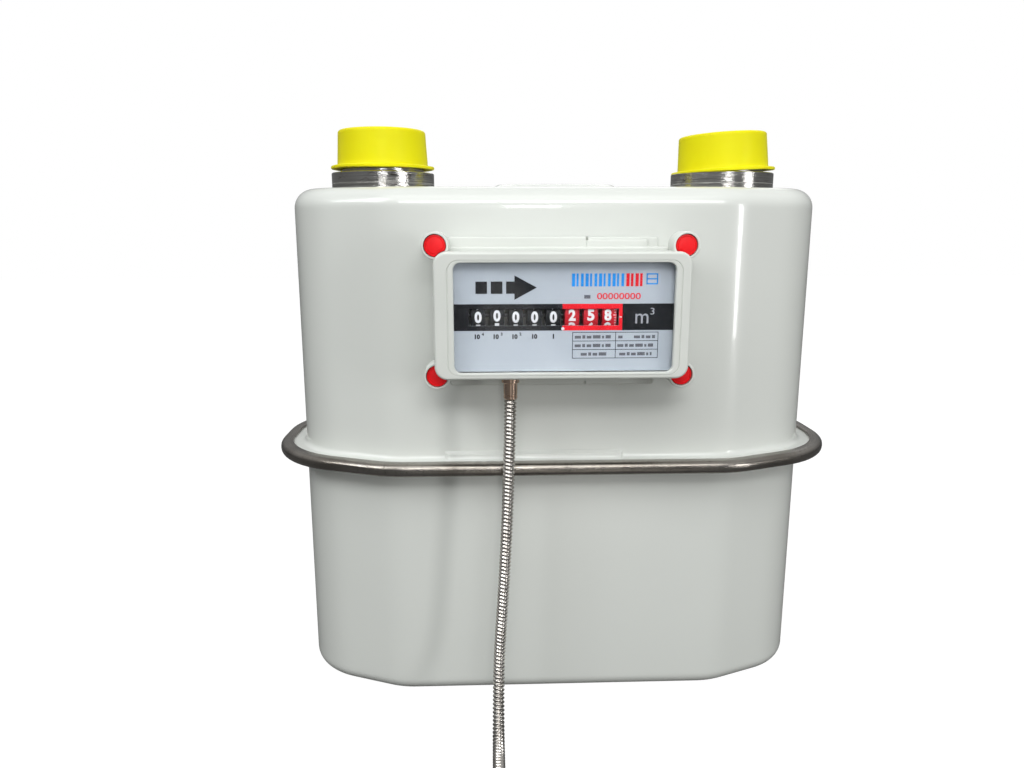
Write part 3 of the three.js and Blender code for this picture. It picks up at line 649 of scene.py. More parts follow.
def makeStage(setup):
    floor = setup["floor"]
    steps = np.linspace(-floor["half"], floor["half"], 9)
    x, y = np.meshgrid(steps, steps, indexing="xy")
    below = 0.0002  # the floor lies just under the object
    mesh = gridMesh("floor", np.stack([x, y, 0 * x - below], -1), False, False)
    material, tree, shader = newMaterial("floor")
    place = addNode(tree, "TexCoord").outputs["Object"]
    share = useEffect(tree, "mottle", {"Vector": place, "Scale": 3.0})
    darker = tuple(0.985 * part for part in floor["colour"])
    plain = blendColours(tree, share, floor["colour"], darker)
    axes = addNode(tree, "SeparateXYZ", {0: place}).outputs
    centre, inner, outer = floor["lane"]
    across = reckon(tree, "ABSOLUTE", reckon(tree, "SUBTRACT", axes["X"], centre))
    side = remap(tree, across, inner, outer, curve="SMOOTHSTEP")
    close = remap(tree, axes["Y"], *floor["laneStart"], curve="SMOOTHSTEP")
    off = reckon(tree, "MAXIMUM", side, close)
    dark = blendColours(tree, off, floor["laneTint"], tuple([floor["mirrored"]] * 3))
    rays = addNode(tree, "LightPath").outputs
    tree.links.new(blendColours(tree, rays["Is Glossy Ray"], plain, dark), shader.inputs["Base Color"])
    lift = reckon(tree, "MULTIPLY", rays["Is Camera Ray"], floor["seen"])
    tree.links.new(lift, shader.inputs["Emission Strength"])
    setInputs(shader, {"Roughness": 0.8, "Specular IOR Level": 0.1, "Emission Color": (1, 1, 1, 1)})
    mesh.materials.append(material)
    newObject("floor", mesh)

    for name, (place, aim, width, height, power, colour) in setup["lamps"].items():
        data = bpy.data.lights.new(name, "AREA")
        data.shape, data.size, data.size_y = "RECTANGLE", width, height
        data.energy, data.color = power, colour
        lamp = bpy.data.objects.new(name, data)
        bpy.context.collection.objects.link(lamp)
        away = Vector(place) - Vector(aim)
        lamp.matrix_world = Matrix.Translation(place) @ away.to_track_quat("Z", "Y").to_matrix().to_4x4()

    # the camera sees plain white, and what the object reflects is a room that darkens downwards
    world = bpy.data.worlds.new("room")
    bpy.context.scene.world = world
    world.use_nodes = True
    tree = world.node_tree
    tone = setup["world"]
    axes = addNode(tree, "SeparateXYZ", {0: addNode(tree, "TexCoord").outputs["Generated"]})
    ramp = addNode(tree, "ValToRGB", {0: remap(tree, axes.outputs["Z"], -1.0, 1.0)})
    stops = ramp.color_ramp.elements
    stops[0].position, stops[1].position = 0.45, 0.85
    middle = stops.new(0.55)
    for stop, level in ((stops[0], "low"), (middle, "horizon"), (stops[2], "high")):
        stop.color = rgba(tuple(tone[level] * part for part in tone["tint"]))
    seen = addNode(tree, "LightPath").outputs["Is Camera Ray"]
    plain = tuple([tone["camera"]] * 3)
    tree.links.new(blendColours(tree, seen, ramp.outputs[0], plain),
                   tree.nodes["Background"].inputs["Color"])


makeStage(lightSetup)
print("stage made")


# ---- case shells and seam band

caseShape = {
    "halfLength": 164.5, "halfDepth": 65.3, "frontFlat": 101.0, "endFlat": 40.0,
    "frontCorner": 50.0, "endCorner": 46.0, "wall": 1.6,
    "foot": 154.9, "brim": 151.5, "flange": 15.2, "fillet": 3.0,
    "top": 318.0, "topRadius": 12.0, "bottomRadius": 9.0, "axisShare": 0.62,
    "sides": [112, 12, 10, 12, 112, 12, 10, 12], "arcSteps": 14,
    "step": (-69.0, 37.0, 161.0, 3.0),  # from, to, top, depth of the ledge at the front
    "pad": (-39.0, 35.0, 46.0, 18.0, 2.0),  # from, to, half depth, corner, height of the rise on top
    "ports": [(-110.0, 0.0, 21.3), (110.0, 0.0, 21.3)], "gland": (0.0, 263.0, 5.3),
}


# the octagon keeps its corner directions as it grows or shrinks, so equal wall stays equal
def caseOutline(out):
    shape = caseShape
    length, depth = shape["halfLength"] + out, shape["halfDepth"] + out
    slope = math.atan2(shape["halfDepth"] - shape["endFlat"], shape["halfLength"] - shape["frontFlat"])
    flat = shape["frontFlat"] + out * math.tan(slope / 2)
    side = shape["endFlat"] + out * math.tan((math.pi / 2 - slope) / 2)
    front, end = shape["frontCorner"] + out, shape["endCorner"] + out
    corners = [(-flat, -depth, front), (flat, -depth, front), (length, -side, end), (length, side, end),
               (flat, depth, front), (-flat, depth, front), (-length, side, end), (-length, -side, end)]
    return roundedPath(corners, shape["arcSteps"], shape["sides"])


# a profile of (out, height) carried round the case
def caseGrid(profile):
    rows = [np.column_stack([caseOutline(out), np.full(len(caseOutline(0)), z)]) for out, z in profile]
    return np.array(rows)


# rows that run in from an outline to a line on the case's long axis
def closingRows(out, height, count):
    edge = caseOutline(out)
    spine = np.column_stack([edge[:, 0] * caseShape["axisShare"], 0 * edge[:, 1]])
    share = np.linspace(0, 1, count + 1)[1:, None, None]
    flat = edge * (1 - share) + spine * share
    return np.concatenate([flat, np.full((*flat.shape[:2], 1), height)], -1)


# the flange from its edge to the foot of the wall, upwards (way 1) or downwards (way -1)
def flangeRows(edge, brim, way):
    flange, fillet = pick(caseShape, "flange fillet")
    rows = [(flange - 0.3, edge), (flange, edge + 0.3 * way), (flange, brim - 0.3 * way),
            (flange - 0.3, brim), (9, brim), (fillet + 3, brim), (fillet + 0.4, brim)]
    return rows + arcPoints(fillet, brim + way * fillet, fillet, 180 + 90 * way, 180, 8).tolist()


def makeUpperCase(shape):
    wall, top, radius, foot, fillet = pick(shape, "wall top topRadius foot fillet")
    brim = foot + wall
    inner = [(-wall, z) for z in (foot, foot + 2, 200, 250, 296, top - radius - 1)]
    inner += arcPoints(-radius, top - radius, radius - wall, 0, 90, 8).tolist()
    outer = flangeRows(foot, brim, 1)
    outer += [(0, z) for z in (159.9, 160.3, 160.8, 161.3, 161.8, 162.4, 163.2, 165)]
    outer += [(0, z) for z in np.linspace(172, top - radius - 7, 18)]
    outer += [(0, top - radius - 2)] + arcPoints(-radius, top - radius, radius, 0, 90, 14).tolist()
    outer += [(-radius - 0.8, top)]
    innerGrid, outerGrid = caseGrid(inner), caseGrid(outer)
    topRows = closingRows(-radius - 0.8, top, 40)
    # rise on top: full height inside a rounded rectangle, falling off over 5 mm round its edge
    x0, x1, half, corner, rise = shape["pad"]
    x, y = topRows[..., 0] - (x0 + x1) / 2, topRows[..., 1]
    far = np.hypot(np.maximum(abs(x) - (x1 - x0) / 2 + corner, 0), np.maximum(abs(y) - half + corner, 0))
    topRows[..., 2] += rise * smoothStep((corner - far) / 5.0 + 0.5)
    # ledge at the front foot: pushed out below its top and between its two ends
    x0, x1, stepTop, depth = shape["step"]
    x, y, z = np.moveaxis(outerGrid, -1, 0)
    inside = smoothStep((x - x0) / 2.5 + 0.5) * smoothStep((x1 - x) / 2.5 + 0.5)
    onWall = (y < -shape["halfDepth"] + 1) & (y > -shape["halfDepth"] - fillet - 0.1)
    push = inside * smoothStep((stepTop - z) / 1.6 + 0.5) * onWall
    outerGrid[..., 1] -= np.where(z > brim - 0.1, push * depth, 0)
    innerTop = closingRows(-radius, top - wall, 12)[::-1]
    shell = solidFrom("case_top", np.concatenate([innerTop, innerGrid[::-1], outerGrid, topRows]))
    holes = [turnedGrid([(0, 300), (r, 300), (r, 325), (0, 325)], hx, hy, 72)
             for hx, hy, r in shape["ports"]]
    gx, gz, gr = shape["gland"]
    holes += [turnedAlongY([(0, -80), (gr, -80), (gr, -50), (0, -50)], gx, gz, 40)]
    for grid in holes:
        combine(shell, solidFrom("cutter", grid), "DIFFERENCE")
    return settle(shell, "case", "painted_case", ["upper_case"], sharp=32)


def makeLowerCase(shape):
    wall, radius, brim, fillet = pick(shape, "wall bottomRadius brim fillet")
    top = brim + wall
    inner = [(-wall, z) for z in (top, top - 2, 100, 50, radius + 1)]
    inner += arcPoints(-radius, radius, radius - wall, 0, -90, 8).tolist()
    outer = flangeRows(top, brim, -1)
    outer += [(0, z) for z in np.linspace(brim - fillet - 2, radius + 2, 18)]
    outer += arcPoints(-radius, radius, radius, 0, -90, 12).tolist() + [(-radius - 0.8, 0)]
    grid = np.concatenate([closingRows(-radius, wall, 10)[::-1], caseGrid(inner)[::-1], caseGrid(outer),
                           closingRows(-radius - 0.8, 0, 14)])
    return settle(solidFrom("case_bottom", grid), "case", "painted_case", ["lower_case"], sharp=32)


bandShape = {"reach": 16.8, "lip": 8.6, "low": 150.0, "high": 158.0, "edge": 3.5, "grooveLow": 151.2,
             "grooveHigh": 156.8, "grooveReach": 15.5,
             "dents": [(-38.5, 1.4, 0.25), (-42.0, 0.8, 0.2), (-46.5, 1.6, 0.3), (-53.0, 1.0, 0.2)]}


# channel of rolled steel: lower lip, rounded back, upper lip, groove; the UV runs along and across it
def makeBand(shape):
    reach, lip, low, high, edge = pick(shape, "reach lip low high edge")
    grooveLow, grooveHigh, grooveReach = pick(shape, "grooveLow grooveHigh grooveReach")
    profile = [(lip, low + 0.5), (lip + 0.3, low + 0.1), (lip + 0.8, low), (lip + 2.5, low)]
    profile += arcPoints(reach - edge, low + edge, edge, -90, 0, 9).tolist()
    profile += arcPoints(reach - edge, high - edge, edge, 0, 90, 9).tolist()
    profile += [(lip + 2.5, high), (lip + 0.8, high), (lip + 0.3, high - 0.1), (lip, high - 0.5),
                (lip, grooveHigh), (grooveReach, grooveHigh), (grooveReach, grooveLow), (lip, grooveLow)]
    grid = caseGrid(profile)
    # small dents in the upper edge at the front
    for x, width, depth in shape["dents"]:
        near = np.exp(-(((grid[..., 0] - x) / width) ** 2)) * (grid[..., 1] < -70)
        grid[..., 2] -= depth * near * smoothStep((grid[..., 2] - high + 2) / 2)
    # lengths along a closed row of points
    def lengths(path):
        closed = np.concatenate([path, path[:1]])
        return np.concatenate([[0], np.cumsum(np.linalg.norm(np.diff(closed, axis=0), axis=1))]) * mm

    measure = (lengths(grid[12]), lengths(np.array(profile)))
    mesh = closeMesh(gridMesh("band", grid * mm, True, True, measure))
    return settle(newObject("band", mesh), "case", "band_steel", ["seam_band"], sharp=40)


makeUpperCase(caseShape)
makeLowerCase(caseShape)
makeBand(bandShape)
print("case and band made")


# ---- pipe connections and caps

stubShape = {
    "places": {"inlet": -110.0, "outlet": 110.0}, "bore": 17.0, "tube": 21.0, "root": 290.0,
    "seat": 318.3, "collar": 32.5, "collarTop": 328.0, "chamfer": 0.4, "neck": 26.0, "neckTop": 346.6,
    "thread": (331.0, 344.5, 2.3, 0.75),  # from, to, pitch, depth
}


def makeStub(side, x, shape):
    neck, bore, tube, collar, top = pick(shape, "neck bore tube collar neckTop")
    root, seat, collarTop, chamfer = pick(shape, "root seat collarTop chamfer")
    low, high, pitch, depth = shape["thread"]
    profile = [(bore, root), (tube, root), (tube, seat), (collar - 0.5, seat),
               (collar, seat + 0.5), (collar, seat + 3.0), (collar - 0.15, seat + 3.2),
               (collar, seat + 3.4), (collar, collarTop),
               (collar - chamfer, collarTop + chamfer), (neck + 0.5, collarTop + chamfer),
               (neck, collarTop + 0.9), (neck, low - 0.6)]
    profile += [(neck, z) for z in np.arange(low, high, pitch / 8)]
    profile += [(neck, high + 0.4), (neck - 1.0, top), (bore + 0.6, top), (bore, top - 0.6)]
    grid = turnedGrid(profile, 0, 0, 96)
    # thread: a triangle wave of height less turn, let in over its first and last pitch
    z, angle = grid[..., 2], np.arctan2(grid[..., 1], grid[..., 0])
    wave = abs(((z / pitch - angle / (2 * np.pi)) % 1) * 2 - 1)
    let = smoothStep((z - low) / pitch) * smoothStep((high - z) / pitch)
    onNeck = np.hypot(grid[..., 0], grid[..., 1]) > neck - 0.01
    scale = 1 - depth * wave * let * onNeck / neck
    grid[..., :2] *= scale[..., None]
    grid[..., 0] += x
    settle(solidFrom(side + "_connection", grid, True), "case", "stub_steel", [side + "_stub"], sharp=28)


capShape = {
    "radius": 28.6, "wall": 1.4, "rim": 32.7, "foot": 330.8, "rimTop": 332.6, "top": 354.6,
    "edge": 1.8, "taper": 0.9,
    "lift": {"inlet": 0.0, "outlet": -1.7}, "tilt": {"inlet": 0.0, "outlet": -3.0},
    "pivot": 340.0, "ripple": 0.35, "roof": 352.8, "waist": 336,
}


def makeCap(side, x, shape):
    radius, wall, rim, foot, rimTop, top, edge, taper = pick(
        shape, "radius wall rim foot rimTop top edge taper")
    inside, (roof, waist, pivot) = radius - wall, pick(shape, "roof waist pivot")
    profile = [(0, roof), (inside - 4, roof), (inside - taper - 0.8, roof), (inside - taper, roof - 0.8),
               (inside, foot + 1), (inside, foot), (rim - 2, foot), (rim - 0.4, foot), (rim, foot + 0.4),
               (rim, rimTop - 0.4), (rim - 0.4, rimTop), (radius + 1.0, rimTop + 0.1),
               (radius + 0.2, rimTop + 0.5), (radius, rimTop + 1.3)]
    profile += [(radius - taper * share, rimTop + 1.3 + (top - edge - rimTop - 1.8) * share)
                for share in np.linspace(0.1, 1, 9)]
    profile += arcPoints(radius - taper - edge, top - edge, edge, 15, 90, 6).tolist()
    profile += [(radius - taper - edge - 1, top), (radius - 12, top), (12, top - 0.2), (0, top - 0.25)]
    grid = turnedGrid(profile, 0, 0, 96)
    angle = np.arctan2(grid[..., 1], grid[..., 0])
    reach = np.hypot(grid[..., 0], grid[..., 1])
    # thin rim that isn't quite flat, and a top edge that isn't quite round
    wave = np.sin(2 * angle + 0.7) + 0.5 * np.sin(5 * angle)
    ripple = shape["ripple"] * 0.5 * wave * smoothStep((reach - radius) / 3)
    grid[..., 2] += ripple * (grid[..., 2] < waist)
    share = smoothStep((grid[..., 2] - waist) / 18)
    grid[..., :2] *= (1 - 0.004 * share * (1 + np.sin(3 * angle + 1.2)))[..., None]
    tilt = math.radians(shape["tilt"][side])
    lx, lz = grid[..., 0].copy(), grid[..., 2] - pivot
    grid[..., 0] = x + lx * math.cos(tilt) + lz * math.sin(tilt)
    grid[..., 2] = pivot + shape["lift"][side] - lx * math.sin(tilt) + lz * math.cos(tilt)
    settle(solidFrom(side + "_cover_cap", grid), side + "_plug", "cap_plastic", [side + "_cap"], sharp=40)


for side, x in stubShape["places"].items():
    makeStub(side, x, stubShape)
    makeCap(side, x, capShape)
print("connections made")


# ---- index: back plate, cover, seals, window

indexShape = {
    "middle": (-3.5, 247.5), "half": (69.5, 34.5), "corner": 7.0, "back": -79.6, "front": -104.0,
    "edge": 1.4, "room": (65.5, 31.5, 4.0), "roomFront": -101.1,
    "window": (-2.5, 246.5, 59.8, 29.8, 4.0), "lip": 3.2, "lipGroove": 0.4,
    "seal": (68.9, 36.0, 6.0, -91.2), "sealRise": 1.5, "boss": 1.6,
    "plates": [(-3.5, 247.5, 68.0, 36.5, 3.0, -79.3), (-6.5, 247.0, 59.5, 42.5, 2.0, -76.6),
               (-3.5, 239.5, 72.0, 17.5, 2.0, -76.6), (29.5, 283.0, 17.5, 5.0, 1.0, -77.6)],
    "plateBack": -65.6, "notches": [(12.4, 289.5), (12.4, 204.5)],
    "lens": (65.0, 31.1, 3.6, -99.4, -100.8),
}


# a rounded rectangle in the upright plane, as a row of points at a given depth
def uprightRow(cx, cz, hx, hz, radius, y, sideSteps=6):
    corners = [(cx - hx, cz - hz, radius), (cx + hx, cz - hz, radius), (cx + hx, cz + hz, radius),
               (cx - hx, cz + hz, radius)]
    flat = roundedPath(corners, 8, [sideSteps] * 4)
    return np.column_stack([flat[:, 0], np.full(len(flat), y), flat[:, 1]])


# a plate with rounded front edges
def plateGrid(cx, cz, hx, hz, radius, back, front, edge=0.8):
    rows = [(-1.0, back), (0, back), (0, front + edge + 0.4)]
    bend = np.radians([0, 22.5, 45, 67.5, 90])
    rows += list(zip(edge * (np.cos(bend) - 1), front + edge * (1 - np.sin(bend))))
    rows += [(-edge - 0.4, front)]
    grid = [uprightRow(cx, cz, hx + out, hz + out, max(radius + out, 0.2), y) for out, y in rows]
    middle = [np.repeat([[cx, y, cz]], len(grid[0]), 0) for y in (back, front)]
    return np.array([middle[0], *grid, middle[1]])


def makeBackPlate(shape):
    back = shape["plateBack"]
    plates = [plateGrid(cx, cz, hx, hz, r, back, front) for cx, cz, hx, hz, r, front in shape["plates"]]
    piece = solidFrom("index_base", plates[0])
    for grid in plates[1:]:
        combine(piece, solidFrom("part", grid), "UNION")
    for x, z in shape["notches"]:
        combine(piece, solidFrom("part", plateGrid(x, z, 0.8, 2.0, 0.3, -60, -90)), "DIFFERENCE")
    return settle(piece, "case", "index_moulding", ["index_back_plate"], sharp=30)


# distance from the rim of the cover's rounded box, negative inside it
def boxDistance(x, z, shape, grow=0.0):
    (cx, cz), (hx, hz), corner = shape["middle"], shape["half"], shape["corner"]
    qx, qz = abs(x - cx) - hx + corner, abs(z - cz) - hz + corner
    outside = np.hypot(np.maximum(qx, 0), np.maximum(qz, 0))
    return outside + np.minimum(np.maximum(qx, qz), 0) - corner - grow


# a disc about a seal's centre whose rim stops where the cover's corner begins
def sealGrid(x, z, radius, shape, grow, rows):
    angle = np.linspace(0, 2 * np.pi, 96, endpoint=False)
    reach = np.linspace(0, radius, 301)
    away = boxDistance(x + reach * np.cos(angle)[:, None], z + reach * np.sin(angle)[:, None], shape,
                       grow)
    hit = away < 0
    limit = np.where(hit.any(1), reach[hit.argmax(1)], radius)
    share, depth = np.array(rows, float).T
    spread = share[:, None] * limit
    return np.stack([x + spread * np.cos(angle), np.broadcast_to(depth[:, None], spread.shape),
                     z + spread * np.sin(angle)], -1)


def sealPlaces(shape):
    (cx, cz), (sx, sz), rise = shape["middle"], shape["seal"][:2], shape["sealRise"]
    return {f"{row}_{column}": (cx + i * sx, cz + rise + k * sz)
            for row, k in (("top", 1), ("bottom", -1)) for column, i in (("left", -1), ("right", 1))}


# box with a rounded front edge, a groove round the lip of the window, and an open back
def makeCover(shape):
    (cx, cz), (hx, hz), corner, edge = pick(shape, "middle half corner edge")
    back, front, roomFront, lip, groove = pick(shape, "back front roomFront lip lipGroove")
    wx, wz, wHalf, wHigh, wCorner = shape["window"]
    rx, rz, rCorner = shape["room"]

    def outerRow(out, y):
        return uprightRow(cx, cz, hx + out, hz + out, corner + out, y, 12)

    def windowRow(out, y):
        return uprightRow(wx, wz, wHalf + out, wHigh + 0.4 * out, wCorner + out * 0.6, y, 12)

    angle = np.radians(np.linspace(0, 90, 8))
    rows = [outerRow(0, back), outerRow(0, back - 2), outerRow(0, front + edge + 1)]
    rows += [outerRow(edge * (math.cos(a) - 1), front + edge * (1 - math.sin(a))) for a in angle]
    rows += [outerRow(-edge - 0.4, front), windowRow(lip + 0.9, front), windowRow(lip + 0.5, front),
             windowRow(lip + 0.3, front + groove), windowRow(lip - 0.1, front + groove),
             windowRow(lip - 0.3, front), windowRow(lip - 0.7, front), windowRow(1.0, front),
             windowRow(0.5, front + 0.07), windowRow(0.15, front + 0.3), windowRow(0, front + 0.8),
             windowRow(0, roomFront - 0.2), windowRow(0.2, roomFront)]
    rows += [uprightRow(cx, cz, rx, rz, rCorner, y, 12) for y in (roomFront, back)]
    cover = solidFrom("index_frame", np.array(rows), True)

    radius, face = shape["seal"][2], shape["seal"][3]
    rim = radius + shape["boss"]
    for x, z in sealPlaces(shape).values():
        boss = turnedAlongY([(0, back), (rim, back), (rim, face - 0.2), (rim - 0.25, face - 0.65),
                             (rim - 0.6, face - 0.8), (rim - 1.0, face - 0.8), (0, face - 0.8)], x, z, 72)
        combine(cover, solidFrom("boss", boss), "UNION")
        well = sealGrid(x, z, radius + 0.3, shape, 0.02,
                        [(0, face + 6.7), (1, face + 6.7), (1, face - 3), (0, face - 3)])
        combine(cover, solidFrom("well", well), "DIFFERENCE")
    return settle(cover, "case", "index_moulding", ["index_cover"], sharp=30)


def makeSeals(shape):
    radius, face = shape["seal"][2:]
    rows = [(0, face + 6), (0.97, face + 6), (1, face + 5.8), (1, face + 0.6), (0.97, face + 0.15),
            (0.92, face), (0.85, face), (0.82, face + 0.35), (0.78, face + 0.35), (0.75, face - 0.05),
            (0.70, face - 0.1), (0.3, face - 0.25), (0, face - 0.28)]
    for name, (x, z) in sealPlaces(shape).items():
        grid = sealGrid(x, z, radius, shape, 0.3, rows)
        settle(solidFrom("plug_" + name, grid), "case", "seal_red", ["seal_" + name], sharp=30)


def makeWindow(shape):
    hx, hz, corner, back, front = shape["lens"]
    cx, cz = shape["middle"]
    pane = solidFrom("index_window", plateGrid(cx, cz, hx, hz, corner, back, front, 0.2))
    return settle(pane, "case", "window", ["index_lens"], sharp=30)


makeBackPlate(indexShape)
makeCover(indexShape)
makeSeals(indexShape)
makeWindow(indexShape)
print("index housing made")


# ---- dial: printed plate, band, scale marks

dialShape = {
    "half": (64.8, 30.9), "corner": 3.0, "back": -96.6, "front": -97.2,
    "slot": (-54.2, 27.9, 241.9, 251.1),
    "band": (-63.0, 58.2, 239.2, 253.8), "redZone": (-3.1, 29.8), "print": 0.05,
}


# corners and sides of a unit box
boxCorners = np.array([(x, y, z) for z in (0, 1) for x, y in ((0, 0), (1, 0), (1, 1), (0, 1))])
boxSides = np.array([(0, 1, 2, 3), (4, 7, 6, 5), *[(k, k + 4, (k + 1) % 4 + 4, (k + 1) % 4)
                                                   for k in range(4)]])


# boxes from a table of x0, x1, z0, z1; each is a thin solid on the face of the plate
def makeBars(name, table, face, thick, finish):
    table = np.array(table, float)
    x = table[:, [0, 1]][:, boxCorners[:, 0]]
    z = table[:, [2, 3]][:, boxCorners[:, 1]]
    y = np.broadcast_to(np.where(boxCorners[:, 2] > 0, face - thick, face), x.shape)
    faces = boxSides[None] + 8 * np.arange(len(table))[:, None, None]
    bars = solidOf(name, np.stack([x, y, z], -1).reshape(-1, 3), faces.reshape(-1, 4))
    return settle(bars, "case", finish, sharp=30)


# flat outlines of characters, as points and faces, scaled to a height and optionally a width
def glyphMesh(text, height, width=None, bold=0.0, depth=0.05, lift=0.0):
    curve = bpy.data.curves.new("glyph", "FONT")
    curve.body, curve.size, curve.extrude, curve.offset = text, 1.0, 0.01, bold
    curve.resolution_u = 4
    holder = newObject("glyph", curve)
    mesh = bpy.data.meshes.new_from_object(holder)
    points = np.empty(len(mesh.vertices) * 3)
    mesh.vertices.foreach_get("co", points)
    points = points.reshape(-1, 3)
    faces = [tuple(polygon.vertices) for polygon in mesh.polygons]
    bpy.data.objects.remove(holder)
    bpy.data.meshes.remove(mesh)
    low, high = points.min(0), points.max(0)
    points -= (low + high) / 2
    tall = height / (high[1] - low[1])
    points[:, 0] *= tall if width is None else width / (high[0] - low[0])
    points[:, 1] *= tall
    points[:, 2] = np.where(points[:, 2] > 0, depth, 0) + lift
    return points, faces


# puts meshes of points and faces together as one
def gather(parts):
    points, faces, start = [], [], 0
    for some, sides in parts:
        points.append(some)
        faces += [tuple(int(k) + start for k in side) for side in sides]
        start += len(some)
    return np.concatenate(points), faces


# characters laid on the plate: x and z in the plane, depth towards the viewer
def makePrint(name, entries, face, finish):
    parts = []
    for text, x, z, height, width, bold in entries:
        flat, sides = glyphMesh(text, height, width, bold)
        parts.append((np.column_stack([x + flat[:, 0], face - flat[:, 2], z + flat[:, 1]]), sides))
    return settle(solidOf(name, *gather(parts)), "case", finish, sharp=30)


def makeDial(shape):
    cx, cz = indexShape["middle"]
    hx, hz = shape["half"]
    x0, x1, z0, z1 = shape["slot"]
    slot = ((x0 + x1) / 2, (z0 + z1) / 2, (x1 - x0) / 2, (z1 - z0) / 2, 0.4)
    plate = (cx, cz, hx, hz, shape["corner"])
    back, front = shape["back"], shape["front"]
    rows = [uprightRow(*plate, back), uprightRow(*plate, front), uprightRow(*slot, front),
            uprightRow(*slot, back)]
    settle(solidFrom("dial_sheet", np.array(rows), True), "case", "dial_print", ["dial_plate"])
    thick, (left, right, low, high), (redLeft, redRight) = pick(shape, "print band redZone")
    makeBars("dial_band", [(left, x0, low, high), (x0, redLeft, z1, high), (x0, redLeft, low, z0),
                           (redRight, right, low, high)], front, thick, "mark_black")
    makeBars("dial_red_zone", [(redLeft, x1, z1, high), (redLeft, x1, low, z0),
                               (x1, redRight, low, high)], front, thick, "mark_red")


scaleMarks = {
    "unit": (("m", 40.6, 245.6, 5.4, 7.2, 0.002), ("3", 46.3, 249.6, 3.7, 2.2, 0.002)),
    "powers": [("10", "4"), ("10", "3"), ("10", "2"), ("10", ""), ("1", "")],
    # height and boldness of the tens and of their powers, and how far each stands from the middle
    "powerHeight": 236.0, "ten": (2.7, 0.06, -0.5, 0.0), "power": (1.7, 0.05, 2.5, 1.4),
    "dot": (-2.9, 240.2, 0.85),
    "arrow": [(-50.5, -44.2), (-42.2, -35.9), (-33.9, -29.2)], "arrowTop": 262.7, "arrowHalf": 3.3,
    "arrowHead": (-29.4, -17.2, 6.6),
    "blueBars": (1.8, 12, 2.45, (1.75, 1.15, 1.5)), "redBars": (31.4, 4, 2.5, (1.8, 1.4)),
    "barHeights": (263.2, 270.2), "badge": (42.4, 48.8, 264.2, 270.2, 0.7),
    "serial": ("00000000", 27.6, 257.9, 3.5, 24.0, 0.012), "serialSign": (8.6, 13.4, 256.6, 258.9),
    "words": (3.4, 1.6, 2.6, 4.2, 1.2, 2.9),
    "tableBox": (2.4, 50.0, 223.6, 237.9), "tableDivider": 26.2, "line": 0.34,
    # row of the table from the top, and where its strokes start and end
    "entries": [(0, 3.8, 24.4), (0, 27.8, 30.2), (0, 36.5, 48.2), (1, 3.8, 24.4), (1, 27.4, 48.0),
                (2, 7.2, 22.2), (2, 28.6, 46.6)],
}


# plain bars in place of the words of an entry
def entryBars(x0, x1, z, high, words):
    bars, x, k = [], x0, 0
    while x < x1 - 0.6:
        end = min(x + words[k % len(words)], x1)
        bars += [(x, end, z, z + high * (1.0 if k % 2 else 0.85))]
        x, k = end + 0.8, k + 1
    return bars


# scale, unit, flow arrow, colour bars and a ruled table with strokes in place of its entries
def makeMarks(marks):
    face = dialShape["front"]
    thick = dialShape["print"]
    bandFace = face - thick
    makePrint("unit_mark", marks["unit"], bandFace, "mark_grey")
    entries = []
    for k, (base, power) in enumerate(marks["powers"]):
        x, z = drumShape["first"] + drumShape["pitch"] * k, marks["powerHeight"]
        for text, (high, bold, aside, up) in ((base, marks["ten"]), (power, marks["power"])):
            if text:
                entries.append((text, x + (aside if power else 0.0), z + up, high, None, bold))
    makePrint("scale_powers", entries, face, "mark_black")
    x, z, radius = marks["dot"]
    top = bandFace - 0.06
    dot = turnedAlongY([(0, bandFace), (radius, bandFace), (radius, top), (0, top)], x, z, 32)
    settle(solidFrom("decimal_dot", dot), "case", "mark_white")

    top, half = marks["arrowTop"], marks["arrowHalf"]
    makeBars("flow_arrow_bars", [(x0, x1, top - half, top + half) for x0, x1 in marks["arrow"]],
             face, thick, "mark_black")
    foot, tip, spread = marks["arrowHead"]
    head = np.array([(foot, -spread), (tip, 0.0), (foot, spread)])
    middle = head[:, 0].mean()
    rows = [np.repeat([[middle, face, top]], 3, 0)]
    rows += [np.column_stack([head[:, 0], np.full(3, y), top + head[:, 1]]) for y in (face, face - thick)]
    rows += [np.repeat([[middle, face - thick, top]], 3, 0)]
    settle(solidFrom("flow_arrow_head", np.array(rows)), "case", "mark_black")

    low, high = marks["barHeights"]
    bars = {}
    for tint in ("blueBars", "redBars"):
        start, count, step, widths = marks[tint]
        bars[tint] = [(start + k * step, start + k * step + widths[k % len(widths)], low, high)
                      for k in range(count)]
    x0, x1, z0, z1, line = marks["badge"]
    bars["blueBars"] += [(x0, x1, z, z + line) for z in np.linspace(z0, z1 - line, 3)]
    bars["blueBars"] += [(x, x + line, z0, z1) for x in (x0, x1 - line)]
    makeBars("colour_bars_blue", bars["blueBars"], face, thick, "mark_blue")
    makeBars("colour_bars_red", bars["redBars"], face, thick, "mark_red")
    makePrint("serial_zeros", [marks["serial"]], face, "mark_red")

    x0, x1, z0, z1 = marks["tableBox"]
    divider, line = marks["tableDivider"], marks["line"]
    heights = np.linspace(z0, z1, 4)
    ruled = [(x0, x1, z, z + line) for z in heights]
    ruled += [(x, x + line, z0, z1 + line) for x in (x0, divider, x1 - line)]
    start, end, z, top = marks["serialSign"]
    bars = entryBars(start, end, z, top - z, marks["words"])
    for row, start, end in marks["entries"]:
        bars += entryBars(start, end, heights[2 - row] + 1.55, 1.8, marks["words"])
    makeBars("rating_table", ruled, face, thick, "mark_black")
    makeBars("rating_entries", bars, face, thick, "mark_entry")


# ---- number drums

